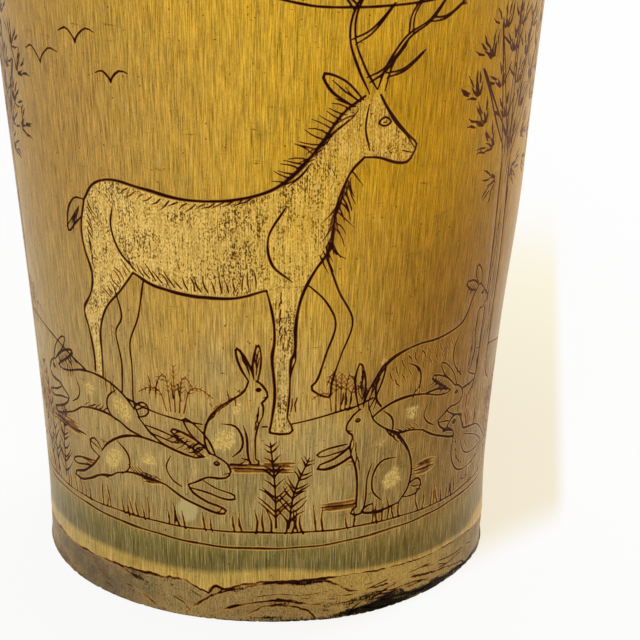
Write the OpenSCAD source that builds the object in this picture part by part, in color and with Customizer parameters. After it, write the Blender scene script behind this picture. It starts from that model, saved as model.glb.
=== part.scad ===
// Horn drinking cup: a length of cow horn pressed round and turned into a tapering beaker.
// A disc of horn is sprung into a groove inside its foot while the wall is hot, the wall shrinks
// on to it as it cools, and a fillet of pitch seals the corner between the two.
// Lengths are in millimetres. The cup stands on z = 0, round its own axis.

/* [Cup] */
// Height of the cup, from the table to the top of the lip
cup_h = 118; // [100:1:140]
// Outside diameter at the foot
foot_d = 68; // [60:0.5:76]
// Outside diameter at the mouth
mouth_d = 83.4; // [78:0.2:92]
// Slope of the side where it leaves the foot, as a share of its mean slope
foot_slope_share = 0.36; // [0.1:0.02:1]
// Slope of the side where it reaches the lip, as a share of its mean slope
lip_slope_share = 0.15; // [0:0.05:1]

/* [Wall] */
// Thickness of the wall at the foot
foot_wall = 3.2; // [2.8:0.1:4]
// Thickness of the wall at the lip, which is rounded over its whole width
lip_wall = 2; // [1.4:0.1:2.6]
// Radius of the worn outer edge of the foot
foot_round = 0.7; // [0.3:0.1:1]
// Chamfer on the inner edge of the foot
foot_chamfer = 0.5; // [0.2:0.1:1]

/* [Base disc] */
// Height of the hollow under the disc, from the table
foot_recess_h = 5.6; // [4.8:0.1:8]
// Thickness of the disc
disc_t = 3; // [2.4:0.1:4]
// Thickness that the two bevels leave at the disc's rim
disc_rim_t = 1.6; // [1:0.1:2]
// How far the rim is let into the wall
groove_depth = 1.1; // [0.6:0.1:1.6]
// How far each bevel runs in over the disc from the wall's bore
bevel_run = 1.5; // [0.8:0.1:3]
// Gap between the rim and its groove, none where the wall has shrunk on to it
rim_gap = 0; // [0:0.01:0.05]
// Depth of the hollow scraped in the top of the disc
disc_dish = 0.5; // [0.2:0.1:0.8]

/* [Pitch seal] */
// Width of the pitch fillet over the disc, from the wall
seal_w = 2.6; // [1.6:0.1:4]
// Height of the pitch fillet up the wall, from the disc
seal_h = 3; // [1.6:0.1:5]

/* [Hidden] */

$fn = 180;
side_steps = 24; // bands that the curved side is turned in
arc_steps = 6; // steps in each rounded edge
dish_steps = 8; // bands that the disc's hollow is turned in
horn_colour = [0.72, 0.55, 0.25];
disc_colour = [0.62, 0.47, 0.24];
pitch_colour = [0.13, 0.08, 0.05];

foot_r = foot_d / 2;
mouth_r = mouth_d / 2;
disc_top_z = foot_recess_h + disc_t;
disc_mid_z = foot_recess_h + disc_t / 2;
lip_centre_z = cup_h - lip_wall / 2;

// Radius of the outside at height z: a cubic from foot to mouth that has the two slopes named above.
function outer_r(z) =
    let (s = z / cup_h)
    foot_r + (mouth_r - foot_r) * (
        3 * s^2 - 2 * s^3
        + foot_slope_share * (s^3 - 2 * s^2 + s)
        + lip_slope_share * (s^3 - s^2)
    );

// Thickness of the wall at height z, which thins steadily from the foot to the lip.
function wall_at(z) = foot_wall + (lip_wall - foot_wall) * z / cup_h;

function bore_r(z) = outer_r(z) - wall_at(z);

// Heights shared by the outside and the bore, with the lowest and highest given.
function stations(low_z, high_z) = [for (i = [0:side_steps]) low_z + (high_z - low_z) * i / side_steps];

// An arc of points in the section, about centre, of radius r, from angle a to angle b.
function arc(centre, r, a, b) =
    [for (i = [0:arc_steps]) let (t = a + (b - a) * i / arc_steps) centre + r * [cos(t), sin(t)]];

disc_bore_r = bore_r(disc_mid_z);
disc_r = disc_bore_r + groove_depth;
bevel_r = disc_bore_r - bevel_run;
bevel_h = (disc_t - disc_rim_t) / 2;

// Section of the wall: up the outside, over the round lip, down the bore to the foot.
function wall_section() = concat(
    arc([outer_r(foot_round) - foot_round, foot_round], foot_round, -90, 0),
    [for (z = stations(foot_round, lip_centre_z)) if (z > foot_round && z < lip_centre_z) [outer_r(z), z]],
    arc([outer_r(lip_centre_z) - lip_wall / 2, lip_centre_z], lip_wall / 2, 0, 180),
    [for (i = [side_steps - 1:-1:1])
        let (z = foot_chamfer + (lip_centre_z - foot_chamfer) * i / side_steps) [bore_r(z), z]],
    [[bore_r(foot_chamfer), foot_chamfer], [bore_r(0) + foot_chamfer, 0]]
);

// Section of the disc without its top face, grown by gap: from the axis, out over the bevelled rim.
function disc_section(gap) = [
    [0, foot_recess_h - gap],
    [bevel_r, foot_recess_h - gap],
    [disc_r + gap, foot_recess_h + bevel_h - gap],
    [disc_r + gap, disc_top_z - bevel_h + gap],
    [bevel_r, disc_top_z + gap],
];

// The disc with a plain top, grown by gap, which the groove is cut with.
module disc_blank(gap) {
    rotate_extrude()
        polygon(concat(disc_section(gap), [[0, disc_top_z + gap]]));
}

module wall_blank() {
    rotate_extrude()
        polygon(wall_section());
}

// The beaker's side: one tapering tube of horn, with the groove for the disc cut inside it.
module horn_wall() {
    color(horn_colour)
        difference() {
            wall_blank();
            disc_blank(rim_gap);
        }
}

// The bottom: a flat disc of horn with a bevelled rim and a shallow hollow scraped in its top.
module base_disc() {
    dish_r = disc_bore_r - bevel_run - seal_w;
    color(disc_colour)
        rotate_extrude()
            polygon(concat(
                disc_section(0),
                [for (i = [0:dish_steps - 1]) let (s = 1 - i / dish_steps)
                    [dish_r * s, disc_top_z - disc_dish * (1 - s^2)]],
                [[0, disc_top_z - disc_dish]]
            ));
}

// The seal: a hollow-faced fillet of pitch run into the corner over the disc, against the wall.
module pitch_seal() {
    seal_top_z = disc_top_z + seal_h;
    seal_top_r = bore_r(seal_top_z);
    seal_bore_r = seal_top_r - seal_w;
    in_wall_r = disc_bore_r + wall_at(disc_mid_z) / 2;
    color(pitch_colour)
        difference() {
            rotate_extrude()
                polygon(concat(
                    [[seal_bore_r, disc_mid_z], [in_wall_r, disc_mid_z], [in_wall_r, seal_top_z]],
                    [for (i = [0:arc_steps]) let (t = 90 * i / arc_steps)
                        [seal_top_r - seal_w * (1 - cos(t)), seal_top_z - seal_h * sin(t)]]
                ));
            wall_blank();
            disc_blank(rim_gap);
        }
}

horn_wall();
base_disc();
pitch_seal();
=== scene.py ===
# %% [markdown]
# # A horn drinking cup
# The cup is one length of cow horn, softened with heat, pressed round and turned into a tapering
# beaker. A disc of horn is sprung into a groove inside the foot and sealed with pitch. Someone then
# cut a woodland scene all round the wall with a graver and rubbed dark stain into the cuts.
#
# The solids come from model.glb. This script adds the engraved wall, the scraped disc, the poured
# pitch, and the finishes. It works in millimetres and turns them into metres last of all.

import bpy
import numpy as np
from mathutils import Matrix, Vector
from mathutils.geometry import delaunay_2d_cdt


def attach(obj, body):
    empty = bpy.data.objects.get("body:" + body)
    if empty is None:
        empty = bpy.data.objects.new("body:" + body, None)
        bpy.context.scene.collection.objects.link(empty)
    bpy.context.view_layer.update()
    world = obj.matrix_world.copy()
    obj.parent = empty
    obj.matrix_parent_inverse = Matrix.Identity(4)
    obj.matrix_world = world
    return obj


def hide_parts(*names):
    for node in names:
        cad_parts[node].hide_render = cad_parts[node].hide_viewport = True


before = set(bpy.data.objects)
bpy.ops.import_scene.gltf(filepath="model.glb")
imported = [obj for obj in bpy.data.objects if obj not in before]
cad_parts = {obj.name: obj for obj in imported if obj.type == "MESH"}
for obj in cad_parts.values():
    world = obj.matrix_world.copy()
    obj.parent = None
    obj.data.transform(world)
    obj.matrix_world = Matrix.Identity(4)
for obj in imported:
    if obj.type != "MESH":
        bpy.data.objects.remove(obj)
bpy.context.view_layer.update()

# %% [markdown]
# The camera comes first, because every later choice is judged through it. It stands about 30 cm from
# the cup's axis, a little higher than the rim, and looks down, so the foot shows as a wide curve and
# the rim is out of the picture. Its place was fitted to the curve of the foot and to the slope of
# the side. A long lens, 112.5 mm on a 36 mm sensor, keeps the two sides of the cup almost straight.

# %% Camera
camera_place = Vector((0.0, -0.29314, 0.13755))
camera_yaw, camera_pitch, camera_roll = np.radians((1.589, 19.367, 0.849))
lens, sensor = 112.5, 36

slant = np.cos(camera_pitch)
ahead = Vector((np.sin(camera_yaw) * slant, np.cos(camera_yaw) * slant, -np.sin(camera_pitch)))
level = Vector((np.cos(camera_yaw), -np.sin(camera_yaw), 0))
upright = level.cross(ahead)
right = np.cos(camera_roll) * level + np.sin(camera_roll) * upright
up = np.cos(camera_roll) * upright - np.sin(camera_roll) * level

camera = bpy.data.objects.new("camera", bpy.data.cameras.new("camera"))
bpy.context.scene.collection.objects.link(camera)
camera.data.lens, camera.data.sensor_width = lens, sensor
camera.data.clip_start = 0.01
camera.matrix_world = Matrix.Translation(camera_place) @ Matrix((right, up, -ahead)).transposed().to_4x4()
bpy.context.scene.camera = camera
print("the camera looks down by", round(float(np.degrees(camera_pitch)), 1), "degrees")

# %% [markdown]
# The side of the cup is a gentle S: almost upright at the foot, steepest half way, upright again at
# the lip. These are the same sizes as in the part's source, so the new wall lies on the solid one.
# The skin is held a hair inside it. In two places horn has swelled or never quite got round, and
# stands a little further out than the solid one: the foot, by up to about a millimetre at its
# lower edge, and half way up on one side, by about a third of a millimetre.

# %% The side of the cup
cup_h, foot_r, mouth_r = 118.0, 34.0, 41.7
foot_slope_share, lip_slope_share = 0.36, 0.15
foot_wall, lip_wall = 3.2, 2.0
foot_round, foot_chamfer = 0.7, 0.5
recess_h, disc_t, disc_rim_t, groove_depth, bevel_run = 5.6, 3.0, 1.6, 1.1, 1.5
skin_gap = 0.06


def outer_r(z):
    """Radius of the outside at height z: a cubic from foot to mouth with a named slope at each end."""
    s = z / cup_h
    rise = 3 * s**2 - 2 * s**3 + foot_slope_share * (s**3 - 2 * s**2 + s) + lip_slope_share * (s**3 - s**2)
    return foot_r + (mouth_r - foot_r) * rise - skin_gap


def bore_r(z):
    """Radius of the inside at height z: the outside less a wall that thins steadily towards the lip."""
    return outer_r(z) + skin_gap - foot_wall - (lip_wall - foot_wall) * z / cup_h


drawing_r = 38.0
half_round = np.pi * drawing_r


def on_wall(u, v, proud=0.0):
    """The place on the wall of a point of the unrolled drawing, in metres. u is the distance round a
    circle of radius drawing_r from the front of the cup, and v is the height. Below the foot's
    rounding, v goes on along that quarter circle. The point stands out from the surface by proud."""
    turn = u / drawing_r - np.pi / 2
    bend = np.clip((foot_round - v) / foot_round, 0, np.pi / 2)
    height = np.maximum(v, foot_round)
    r = outer_r(height) - foot_round + (foot_round + proud) * np.cos(bend)
    z = height - (foot_round + proud) * np.sin(bend)
    return np.stack([r * np.cos(turn), r * np.sin(turn), z], -1) / 1000


lowest_v = foot_round * (1 - np.pi / 2)
print("round the cup at the drawing's scale:", round(2 * half_round, 1), "mm")

# %% [markdown]
# The picture is drawn flat first, on the unrolled wall, the way a graver plans it on paper. A cut is
# a smooth line through a few given points. The hand shakes a little and presses unevenly,
# so the line wanders and swells, and it thins out where the graver goes in and comes out.

# %% The graver's hand
hand = np.random.default_rng(7)
pen = 0.52  # how fine the graver is, against the widths written below
knot_gap, taper_run = 5, 1.6  # between changes of the hand, and along a narrowing end
bold, doubled_within = 0.43, 52  # a wider cut this near the front is gone over again
eye_size, eye_step, front_step, back_step, front_half = 4, 0.3, 0.75, 1.1, 55
cuts = []  # each is (points on the drawing, half width at each point, how dark the stain took)


def through(points, step=0.7, closed=False):
    """A smooth curve through the points: a Catmull-Rom spline, which leaves each point parallel to
    the line between its neighbours, sampled again at even steps of its length."""
    p = np.asarray(points, float)
    ends = (p[-1], p[0], p[1]) if closed else (2 * p[0] - p[1], 2 * p[-1] - p[-2])
    p = np.vstack([ends[0], p, *ends[1:]])
    a, b, c, d = (q[:, None, :] for q in (p[:-3], p[1:-2], p[2:-1], p[3:]))
    t = np.linspace(0, 1, 20, endpoint=False)[None, :, None]
    q = 0.5 * (2 * b + (c - a) * t + (2 * a - 5 * b + 4 * c - d) * t**2 + (3 * b - a - 3 * c + d) * t**3)
    q = np.vstack([q.reshape(-1, 2), p[-2]])
    return evenly(q, step)


def evenly(points, step=0.8):
    """The same broken line with points at even steps of its length."""
    p = np.asarray(points, float)
    along = np.r_[0, np.cumsum(np.hypot(*np.diff(p, axis=0).T))]
    at = np.linspace(0, along[-1], max(2, int(np.ceil(along[-1] / step)) + 1))
    return np.stack([np.interp(at, along, p[:, 0]), np.interp(at, along, p[:, 1])], 1)


def at_place(at=(0, 0), size=1.0, flip=False):
    """Returns a function that puts a motif's own points on the wall: scaled, turned round, moved."""
    return lambda points: np.asarray(points, float) * (size * (-1 if flip else 1), size) + at


on_the_wall = at_place()


def cut(points, width=0.42, ends=(0.35, 0.35), put=on_the_wall, closed=False, shake=0.07, ink=1.0,
        again=True):
    """One cut of the graver. Its shake and its pressure are random values every few millimetres,
    joined by straight lines, and its ends narrow to the given shares of its width. A bold line on the
    front of the cup is gone over again with a second stroke, which never quite follows the first."""
    p = put(points)
    small = closed and np.ptp(p, axis=0).max() < eye_size
    step = front_step if abs(p[:, 0].mean()) < front_half else back_step
    p = through(p, eye_step if small else step, closed)
    if again and width > bold and not closed and abs(p[:, 0].mean()) < doubled_within:
        part = p[int(len(p) * hand.uniform(0, 0.25)): int(len(p) * hand.uniform(0.75, 1)) + 1]
        if len(part) > 6:
            cut(part[::4], 0.6 * width, (0.1, 0.1), shake=0.16, ink=0.9, again=False)
    s = np.linspace(0, 1, len(p))
    length = np.hypot(*np.diff(p, axis=0).T).sum()
    knots = np.linspace(0, 1, max(3, int(length / knot_gap) + 2))
    if not closed:
        wander = np.stack([np.interp(s, knots, hand.normal(0, shake, len(knots))) for _ in "uv"], 1)
        p = p + wander * np.sqrt(np.sin(np.pi * s).clip(0))[:, None]
        fade = np.interp(s * length, [0, taper_run], [ends[0], 1])
        fade = fade * np.interp((1 - s) * length, [0, taper_run], [ends[1], 1])
    else:
        fade = 1
    press = np.interp(s, knots, hand.uniform(0.65, 1.3, len(knots)))
    cuts.append((p, pen * width / 2 * press * fade, ink))


def flick(start, reach, angle, width=0.3, ink=0.8, bend=0.12):
    """A short flick of the graver, such as a hair or a blade of grass: it swells and then tapers off."""
    way = np.array([np.cos(angle), np.sin(angle)])
    side = np.array([-way[1], way[0]]) * hand.uniform(-bend, bend) * reach
    p = through([start, start + reach / 2 * way + side, start + reach * way], 1.2)
    s = np.linspace(0, 1, len(p))
    cuts.append((p, pen * width / 1.8 * np.interp(s, [0, 0.35, 1], [0.5, 1, 0.15]), ink))


def hairs(points, reach, lean, every=1.0, width=0.3, put=on_the_wall, flip=False, ink=0.8):
    """A row of flicks along a line, which lean by the given degrees, from one end of it to the other."""
    roots = through(put(points), every)
    lean = np.atleast_1d(lean)
    lean = np.radians(np.interp(np.linspace(0, 1, len(roots)), np.linspace(0, 1, len(lean)), lean))
    lean = (np.pi - lean if flip else lean) + hand.normal(0, 0.12, len(roots))
    for root, angle in zip(roots, lean):
        flick(root, reach * hand.uniform(0.75, 1.25), angle, width, ink)


print("a curve through three points is cut in", len(through([(0, 0), (5, 3), (10, 0)])), "steps")

# %% [markdown]
# Things in front hide things behind. An engraver simply stops the line there. Here each motif has an
# outline, and before it is drawn every line behind it is broken where it runs inside that outline.
# Some outlines also mark a patch of the surface as a stippled coat, and an animal's side can have
# worn spots. A later motif's body covers the worn spots of what stands behind it.

# %% Outlines that hide and patches that mark
patches = []  # each is (outline on the drawing, how much it is stippled)
spots = []  # each is (middle, half length, half height, lean in degrees, how strong it is)


def inside(points, outline):
    """Whether each point is inside an outline: true if a line from it to the right crosses it an odd
    number of times."""
    a, b = outline, np.roll(outline, -1, axis=0)
    u, v = points[:, :1], points[:, 1:]
    spans = (a[:, 1] > v) != (b[:, 1] > v)
    run = np.where(a[:, 1] == b[:, 1], 1.0, b[:, 1] - a[:, 1])
    return (spans & (u < a[:, 0] + (v - a[:, 1]) * (b[:, 0] - a[:, 0]) / run)).sum(1) % 2 == 1


def in_front(pieces, put, coat=0.0):
    """Joins the pieces of a motif's outline, takes what lies behind off the drawing and marks the coat."""
    outline = np.vstack([through(put(p)) for p in pieces])
    behind, cuts[:] = list(cuts), []
    for p, w, ink in behind:
        shown = np.flatnonzero(~inside(p, outline))
        for run in np.split(shown, np.flatnonzero(np.diff(shown) > 1) + 1):
            if len(run) > 1:
                cuts.append((p[run], w[run], ink))
    spots[:] = [spot for spot in spots if not inside(np.array([spot[:2]]), outline)[0]]
    patches.append((outline, coat))


def dapple(x, y, long, tall, lean, put, strength=1.0):
    """A patch of lighter, scratched hair on an animal's side."""
    spots.append((*put([(x, y)])[0], long, tall, lean, strength))


def wipe(name):
    """Says how many cuts a motif took when it was tried out, and wipes the sheet."""
    print("cuts for", name + ":", len(cuts))
    cuts.clear(), patches.clear(), spots.clear()


tile = np.array([(-1.0, -1), (1, -1), (0, 2)])
print("a tile's own middle is inside it:", bool(inside(np.zeros((1, 2)), tile)[0]))

# %% [markdown]
# The stag is the largest figure. Its points are in hundredths of its length, as it would be drawn on
# squared paper. The body is one closed outline, so that its coat can be filled with stipple, and the
# far legs are drawn first, lighter, so that the near ones come out in front.

# %% A stag
stag_outline = [
    [(85, 84), (80, 80), (75, 72.5), (69, 65.5), (63, 61.5), (54, 59.5), (44, 59), (34, 60.5), (26, 61.5),
     (20, 59.5), (16.5, 55)],
    [(16.5, 55), (14.6, 48), (15, 42), (17, 36.5), (16, 31), (12.8, 26.5), (14, 21), (15, 14), (14.3, 8),
     (13.4, 4), (12.4, 0.5)],
    [(12.4, 0.5), (15, 0), (18.2, 0.6), (16.8, 4)],
    [(16.8, 4), (17.6, 9), (18, 16), (18.2, 22), (21, 28.5), (26, 34), (30, 39)],
    [(30, 39), (36, 36.4), (46, 35.2), (56, 35.4), (63.5, 37.5)],
    [(63.5, 37.5), (65, 31), (65.4, 24), (64.8, 20.5), (65.6, 11), (65.1, 5), (64.4, 0.5)],
    [(64.4, 0.5), (67, 0), (70.2, 0.6), (68.9, 4.4)],
    [(68.9, 4.4), (69.4, 10), (69.6, 19), (70.6, 22), (70.8, 30), (72.4, 37), (75.4, 43)],
    [(75.4, 43), (78.4, 48), (79, 54), (80, 60), (82.4, 66), (85.5, 69.4)],
    [(85.5, 69.4), (89, 69), (93, 67.4), (96.4, 67.2), (97.8, 69)],
    [(97.8, 69), (98.6, 71.4), (96, 73.8), (92.6, 77.4), (90.4, 80.6), (88.6, 84)],
]
stag_far_legs = [
    [(24, 34), (25.6, 27), (23.2, 22), (24.6, 14), (24, 5), (23.6, 0.6), (28.8, 0.4), (27.4, 5), (27.8, 14),
     (27.6, 21), (30.6, 28), (32.8, 37.4)],
    [(73, 39), (78, 34), (80.6, 28), (78.4, 20.5), (76.4, 14), (74.8, 11.6), (79.6, 9.2), (80.2, 13),
     (82.2, 20), (84.8, 28.6), (81, 36.6), (77.6, 45)],
]
# each antler branch: the middle of the branch, then its half width at the root
stag_antlers = [
    ([(86.8, 84.8), (84, 90), (81.6, 97), (82.2, 104), (86, 110.6)], 1.0),
    ([(85.4, 87.6), (89, 89.6), (93.6, 95)], 0.7),
    ([(81.8, 96.6), (86, 99), (90.6, 104.6)], 0.7),
    ([(82.2, 104), (79.6, 108), (79.8, 113)], 0.6),
    ([(88.6, 85), (90.4, 91), (94.4, 97), (100, 100.4), (104.6, 106)], 0.9),
    ([(89.6, 88.4), (94, 89.4), (98.4, 93)], 0.6),
    ([(95, 97.4), (95.4, 102), (98.6, 107)], 0.6),
    ([(100, 100.4), (104, 100.6), (108, 103)], 0.5),
]


def branch(middle, root, put, width=0.36):
    """Both sides of a tapering branch: its middle line moved out by a width that shrinks to the tip."""
    p = np.asarray(middle, float)
    way = np.gradient(p, axis=0)
    side = np.stack([-way[:, 1], way[:, 0]], 1) / np.hypot(*way.T)[:, None]
    side = side * np.linspace(root, 0.12, len(p))[:, None]
    cut(np.vstack([p + side, (p - side)[::-1]]), width, put=put)


def eye(at, put):
    """An almond with a dot in it."""
    x, y = at
    cut([(x - 1.5, y), (x, y + 1.2), (x + 1.5, y), (x, y - 0.9)], 0.32, put=put, closed=True)
    cut([(x - 0.4, y), (x + 0.4, y)], 0.5, put=put)


def stag(at, size, flip=False):
    put = at_place(at, size, flip)
    in_front(stag_outline, put, coat=1.0)
    for leg in stag_far_legs:
        cut(leg, 0.38, put=put)
    for piece, width in zip(stag_outline, (0.56, 0.5, 0.5, 0.46, 0.54, 0.46, 0.5, 0.46, 0.46, 0.42, 0.46)):
        cut(piece, width, (0.7, 0.7), put)
    for middle, root in stag_antlers:
        branch(middle, root, put)
    cut([(16.5, 55), (13, 54.6), (10.2, 51), (9.6, 45.6), (12.4, 48), (15, 50.4)], 0.4, put=put)
    cut([(68, 58.5), (64, 51), (64.6, 44), (69.6, 39.5)], 0.36, (0.2, 0.2), put)
    cut([(31, 39.5), (26.4, 44), (24.4, 50), (25.4, 55)], 0.34, (0.5, 0.1), put)
    cut([(94.8, 70.2), (97.6, 69.4)], 0.3, put=put)
    cut([(86, 82), (85.4, 76), (86.6, 71)], 0.32, (0.2, 0.2), put)
    cut([(84.6, 83), (80.4, 87.6), (75.4, 89.6), (77.4, 85.4), (82.4, 81.6)], 0.42, put=put)
    cut([(83, 83.2), (79.6, 86), (77.4, 88)], 0.28, (0.3, 0.1), put)
    eye((90, 77.4), put)
    for line, reach, lean, every in (
        ([(14.5, 53), (12, 50)], 2.4, -115, 0.5),
        ([(79, 50), (79.6, 57), (82, 64)], 3.6, (-100, -115, -120), 0.7),
        ([(76, 46), (78.6, 51), (80.6, 60), (83, 66)], 3.0, (-60, -70, -62), 0.75),
        ([(84, 82.6), (78.4, 77.4), (73, 69.6), (68, 64)], 2.6, (150, 158, 170), 0.85),
        ([(83.4, 80.6), (77.6, 74.6), (72.4, 67.4)], 3.4, (-140, -140, -150), 0.8),
        ([(33, 38.6), (42, 36.8), (52, 36.4), (61, 38)], 2.2, (130, 110, 95), 1.0),
        ([(60, 60.2), (50, 58.4), (40, 58.4), (30, 60)], 1.6, (-150, -140), 1.3),
        ([(17.6, 55), (16.8, 48), (17.4, 41)], 2.0, (-60, -80), 1.1),
        ([(22.5, 31.5), (26.5, 36), (30, 40)], 1.8, (140, 120), 0.9),
        ([(67, 37), (67, 30), (67.6, 24)], 1.4, (-95, -90), 1.3),
    ):
        hairs(line, reach, lean, every, put=put, flip=flip)


stag((-38, 30), 0.58)
wipe("a stag")

# %% [markdown]
# The small animals of the wood are drawn in the same way: hares that run and sit, a hind that rests
# with her legs under her, and a partridge. Each is scaled and turned round as its place needs.

# %% A hind at rest
hind_outline = [
    [(92, 47), (92.6, 50), (88, 54), (84, 57.6), (80, 60)],
    [(80, 60), (75, 54), (71, 46), (66, 40.6), (56, 38), (44, 36.6), (32, 36.6), (20, 34), (11, 28), (6, 19),
     (7, 9), (12, 3)],
    [(12, 3), (22, 0.5), (34, 0.5), (44, 2), (46, 4.4), (38, 6)],
    [(38, 6), (50, 6.4), (60, 4)],
    [(60, 4), (66, 1), (78, 0.5), (88, 1.5), (90, 4), (84, 6.4), (80, 8.4)],
    [(80, 8.4), (84, 14), (84.6, 22), (82.6, 30), (83, 37), (82.6, 42), (84.4, 44.6)],
    [(84.4, 44.6), (88, 44.4), (92, 47)],
]


def hind_at_rest(at, size, flip=False):
    put = at_place(at, size, flip)
    in_front(hind_outline, put)
    for piece in hind_outline:
        cut(piece, 0.44, (0.6, 0.6), put)
    cut([(30, 7), (36, 13), (34.4, 22), (26, 27)], 0.36, (0.4, 0.2), put)
    cut([(66.6, 36), (62, 28), (63.6, 18), (72, 9)], 0.36, (0.2, 0.4), put)
    cut([(79, 59.4), (73, 63.4), (66, 63.6), (70.6, 58.6), (77, 56.8)], 0.4, put=put)
    cut([(82, 59.6), (80.4, 67), (75, 72), (74.8, 66), (78.4, 61)], 0.38, put=put)
    cut([(88.4, 46.8), (91.8, 47.4)], 0.28, put=put)
    eye((85.4, 53.4), put)
    hairs([(77.4, 60.4), (71, 61.4)], 1.6, -130, 0.6, 0.26, put, flip)
    hairs([(80, 34), (80.6, 24), (79, 15)], 2.0, -95, 0.8, 0.28, put, flip)
    hairs([(14, 24), (26, 31.4), (42, 33), (58, 34)], 1.5, -60, 1.3, 0.34, put, flip)
    hairs([(18, 19), (24, 22), (44, 27), (56, 27)], 1.4, -60, 1.5, 0.34, put, flip)


hind_at_rest((0, 30), 0.3)
wipe("a hind")

# %% Hares
running_outline = [
    [(98.4, 24), (96.4, 28.6), (92, 31.4), (88.6, 32.4)],
    [(85, 30.6), (80, 29.6), (72, 31), (61, 34.2), (48, 35.4), (36, 32.6), (26.6, 27), (21.4, 21.4)],
    [(19.6, 18), (13, 11.4), (5, 6), (-3, 3.4), (-4.6, 1)],
    [(-4.6, 1), (2, 0.4), (9, 3), (18, 7.6), (26, 9.4), (32, 12.6)],
    [(32, 12.6), (42, 15), (54, 14.6), (63, 12.8)],
    [(63, 12.8), (72, 7.6), (82, 4), (91, 1.2), (95.6, 1.6), (94.6, 4), (86, 6.6), (78, 11), (75.6, 15)],
    [(75.6, 15), (81, 17.4), (86.4, 20), (91.6, 19.8), (96.6, 21), (98.4, 24)],
]


def hare_running(at, size, flip=False):
    put = at_place(at, size, flip)
    in_front(running_outline, put)
    cut([(76, 13.6), (86, 12), (95, 9.4), (100.4, 9.6), (99.4, 12), (91, 14.4), (84, 18)], 0.36, put=put)
    cut([(12, 10.8), (6, 9.6), (-1, 8), (-5.4, 8.4), (-3.4, 10.6), (4, 12.8), (15, 14.4)], 0.36, put=put)
    for piece in running_outline:
        cut(piece, 0.45, (0.6, 0.6), put)
    cut([(21.8, 22.6), (17, 26.6), (12.6, 25), (13.4, 20.4), (19.4, 17.8)], 0.38, put=put)
    cut([(88.6, 32.4), (81, 38.6), (71, 42.8), (66.6, 42.6), (71.6, 38.4), (79.6, 33.8), (85, 30.6)], 0.44,
        put=put)
    cut([(90.6, 32), (86.4, 40.4), (79, 47.4), (74, 49.2), (76.4, 43.6), (81, 38.8)], 0.4, put=put)
    cut([(33.6, 30), (40, 24.6), (40.6, 17.6), (35.4, 12.8)], 0.36, (0.2, 0.4), put)
    dapple(30, 20, 2.1, 1.3, -50 if flip else 50, put)
    dapple(54, 25, 2.0, 1.1, 0, put, 0.8)
    cut([(66.4, 28.6), (63.4, 22), (66.4, 16.6), (72, 13.4)], 0.36, (0.2, 0.4), put)
    cut([(94.6, 22.4), (97.6, 23.2)], 0.28, put=put)
    eye((91.2, 27.6), put)
    hairs([(84, 34.6), (77, 38.4), (71, 40.6)], 2.0, -150, 0.6, 0.26, put, flip)
    hairs([(20.4, 22), (16.4, 23.6)], 1.5, 160, 0.5, 0.26, put, flip)
    hairs([(44, 16), (52, 15.8), (60, 14.8)], 1.5, 150, 0.9, 0.24, put, flip)


sitting_outline = [
    [(55, 51.6), (54.6, 55.6), (51, 60.4), (47, 62.8)],
    [(41.6, 62), (38.6, 55), (31, 49), (21, 42.4), (13, 33), (9.4, 21), (11.4, 10), (18, 2.6)],
    [(18, 2.6), (28, 0.8), (40, 0.8), (43.4, 2.6), (40, 5), (36.6, 5.6)],
    [(42.6, 1.4), (47, 0.8), (50.4, 2.2), (48.4, 4.6), (46.6, 5.4)],
    [(46.6, 5.4), (46.6, 17), (48, 28), (51.6, 37)],
    [(51.6, 37), (52.2, 43), (50.6, 47.6), (53, 49), (55, 51.6)],
]


def hare_sitting(at, size, flip=False):
    put = at_place(at, size, flip)
    in_front(sitting_outline, put)
    for piece in sitting_outline:
        cut(piece, 0.44, (0.6, 0.6), put)
    cut([(38, 30), (40.6, 21), (41, 10), (42.6, 1.4)], 0.4, (0.2, 0.6), put)
    cut([(30, 6.4), (36.4, 13), (37, 22), (31.6, 29.6), (22, 30.4)], 0.4, (0.5, 0.2), put)
    dapple(24, 18, 1.9, 1.4, 40, put)
    dapple(34, 42, 1.7, 1.0, 40, put, 0.7)
    cut([(42, 62.4), (37.6, 70), (34, 80), (33.6, 87), (38.6, 81), (43.6, 71), (45.6, 63.6)], 0.42, put=put)
    cut([(45.6, 64), (44.6, 74), (46, 84), (48.6, 89.6), (50.8, 81), (50, 71), (48, 62.4)], 0.42, put=put)
    cut([(11.2, 12), (5, 14), (1.4, 10.4), (4, 5.4), (11, 4.6), (14.6, 5.4)], 0.38, put=put)
    cut([(52, 50.8), (54.6, 51.4)], 0.28, put=put)
    eye((48.6, 56.4), put)
    for line, reach, lean, every in (
        ([(38.6, 78), (42.6, 67)], 2.0, 110, 0.55),
        ([(47.4, 80), (47, 67)], 2.0, 85, 0.55),
        ([(9.6, 11), (5, 8)], 1.4, 190, 0.5),
        ([(49, 44), (48.6, 38), (46.4, 33)], 1.7, -95, 0.65),
        ([(14, 33), (22, 42), (30, 47.6)], 1.4, -130, 0.9),
    ):
        hairs(line, reach, lean, every, 0.26, put, flip)


hare_running((0, 20), 0.3)
hare_sitting((30, 20), 0.27)
wipe("two hares")

# %% A partridge, and birds far off
partridge_outline = [
    [(3, 37), (8, 41.4), (14, 40.6), (17.6, 36), (20.4, 31), (28, 29.4), (38, 27.6), (48, 22), (60, 12.6)],
    [(60, 12.6), (52, 12), (46, 10.4), (38, 7.4), (28, 6.6), (18, 9), (11.6, 15.6), (9.6, 23), (10.6, 30),
     (9, 33.4), (3, 37)],
]


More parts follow.
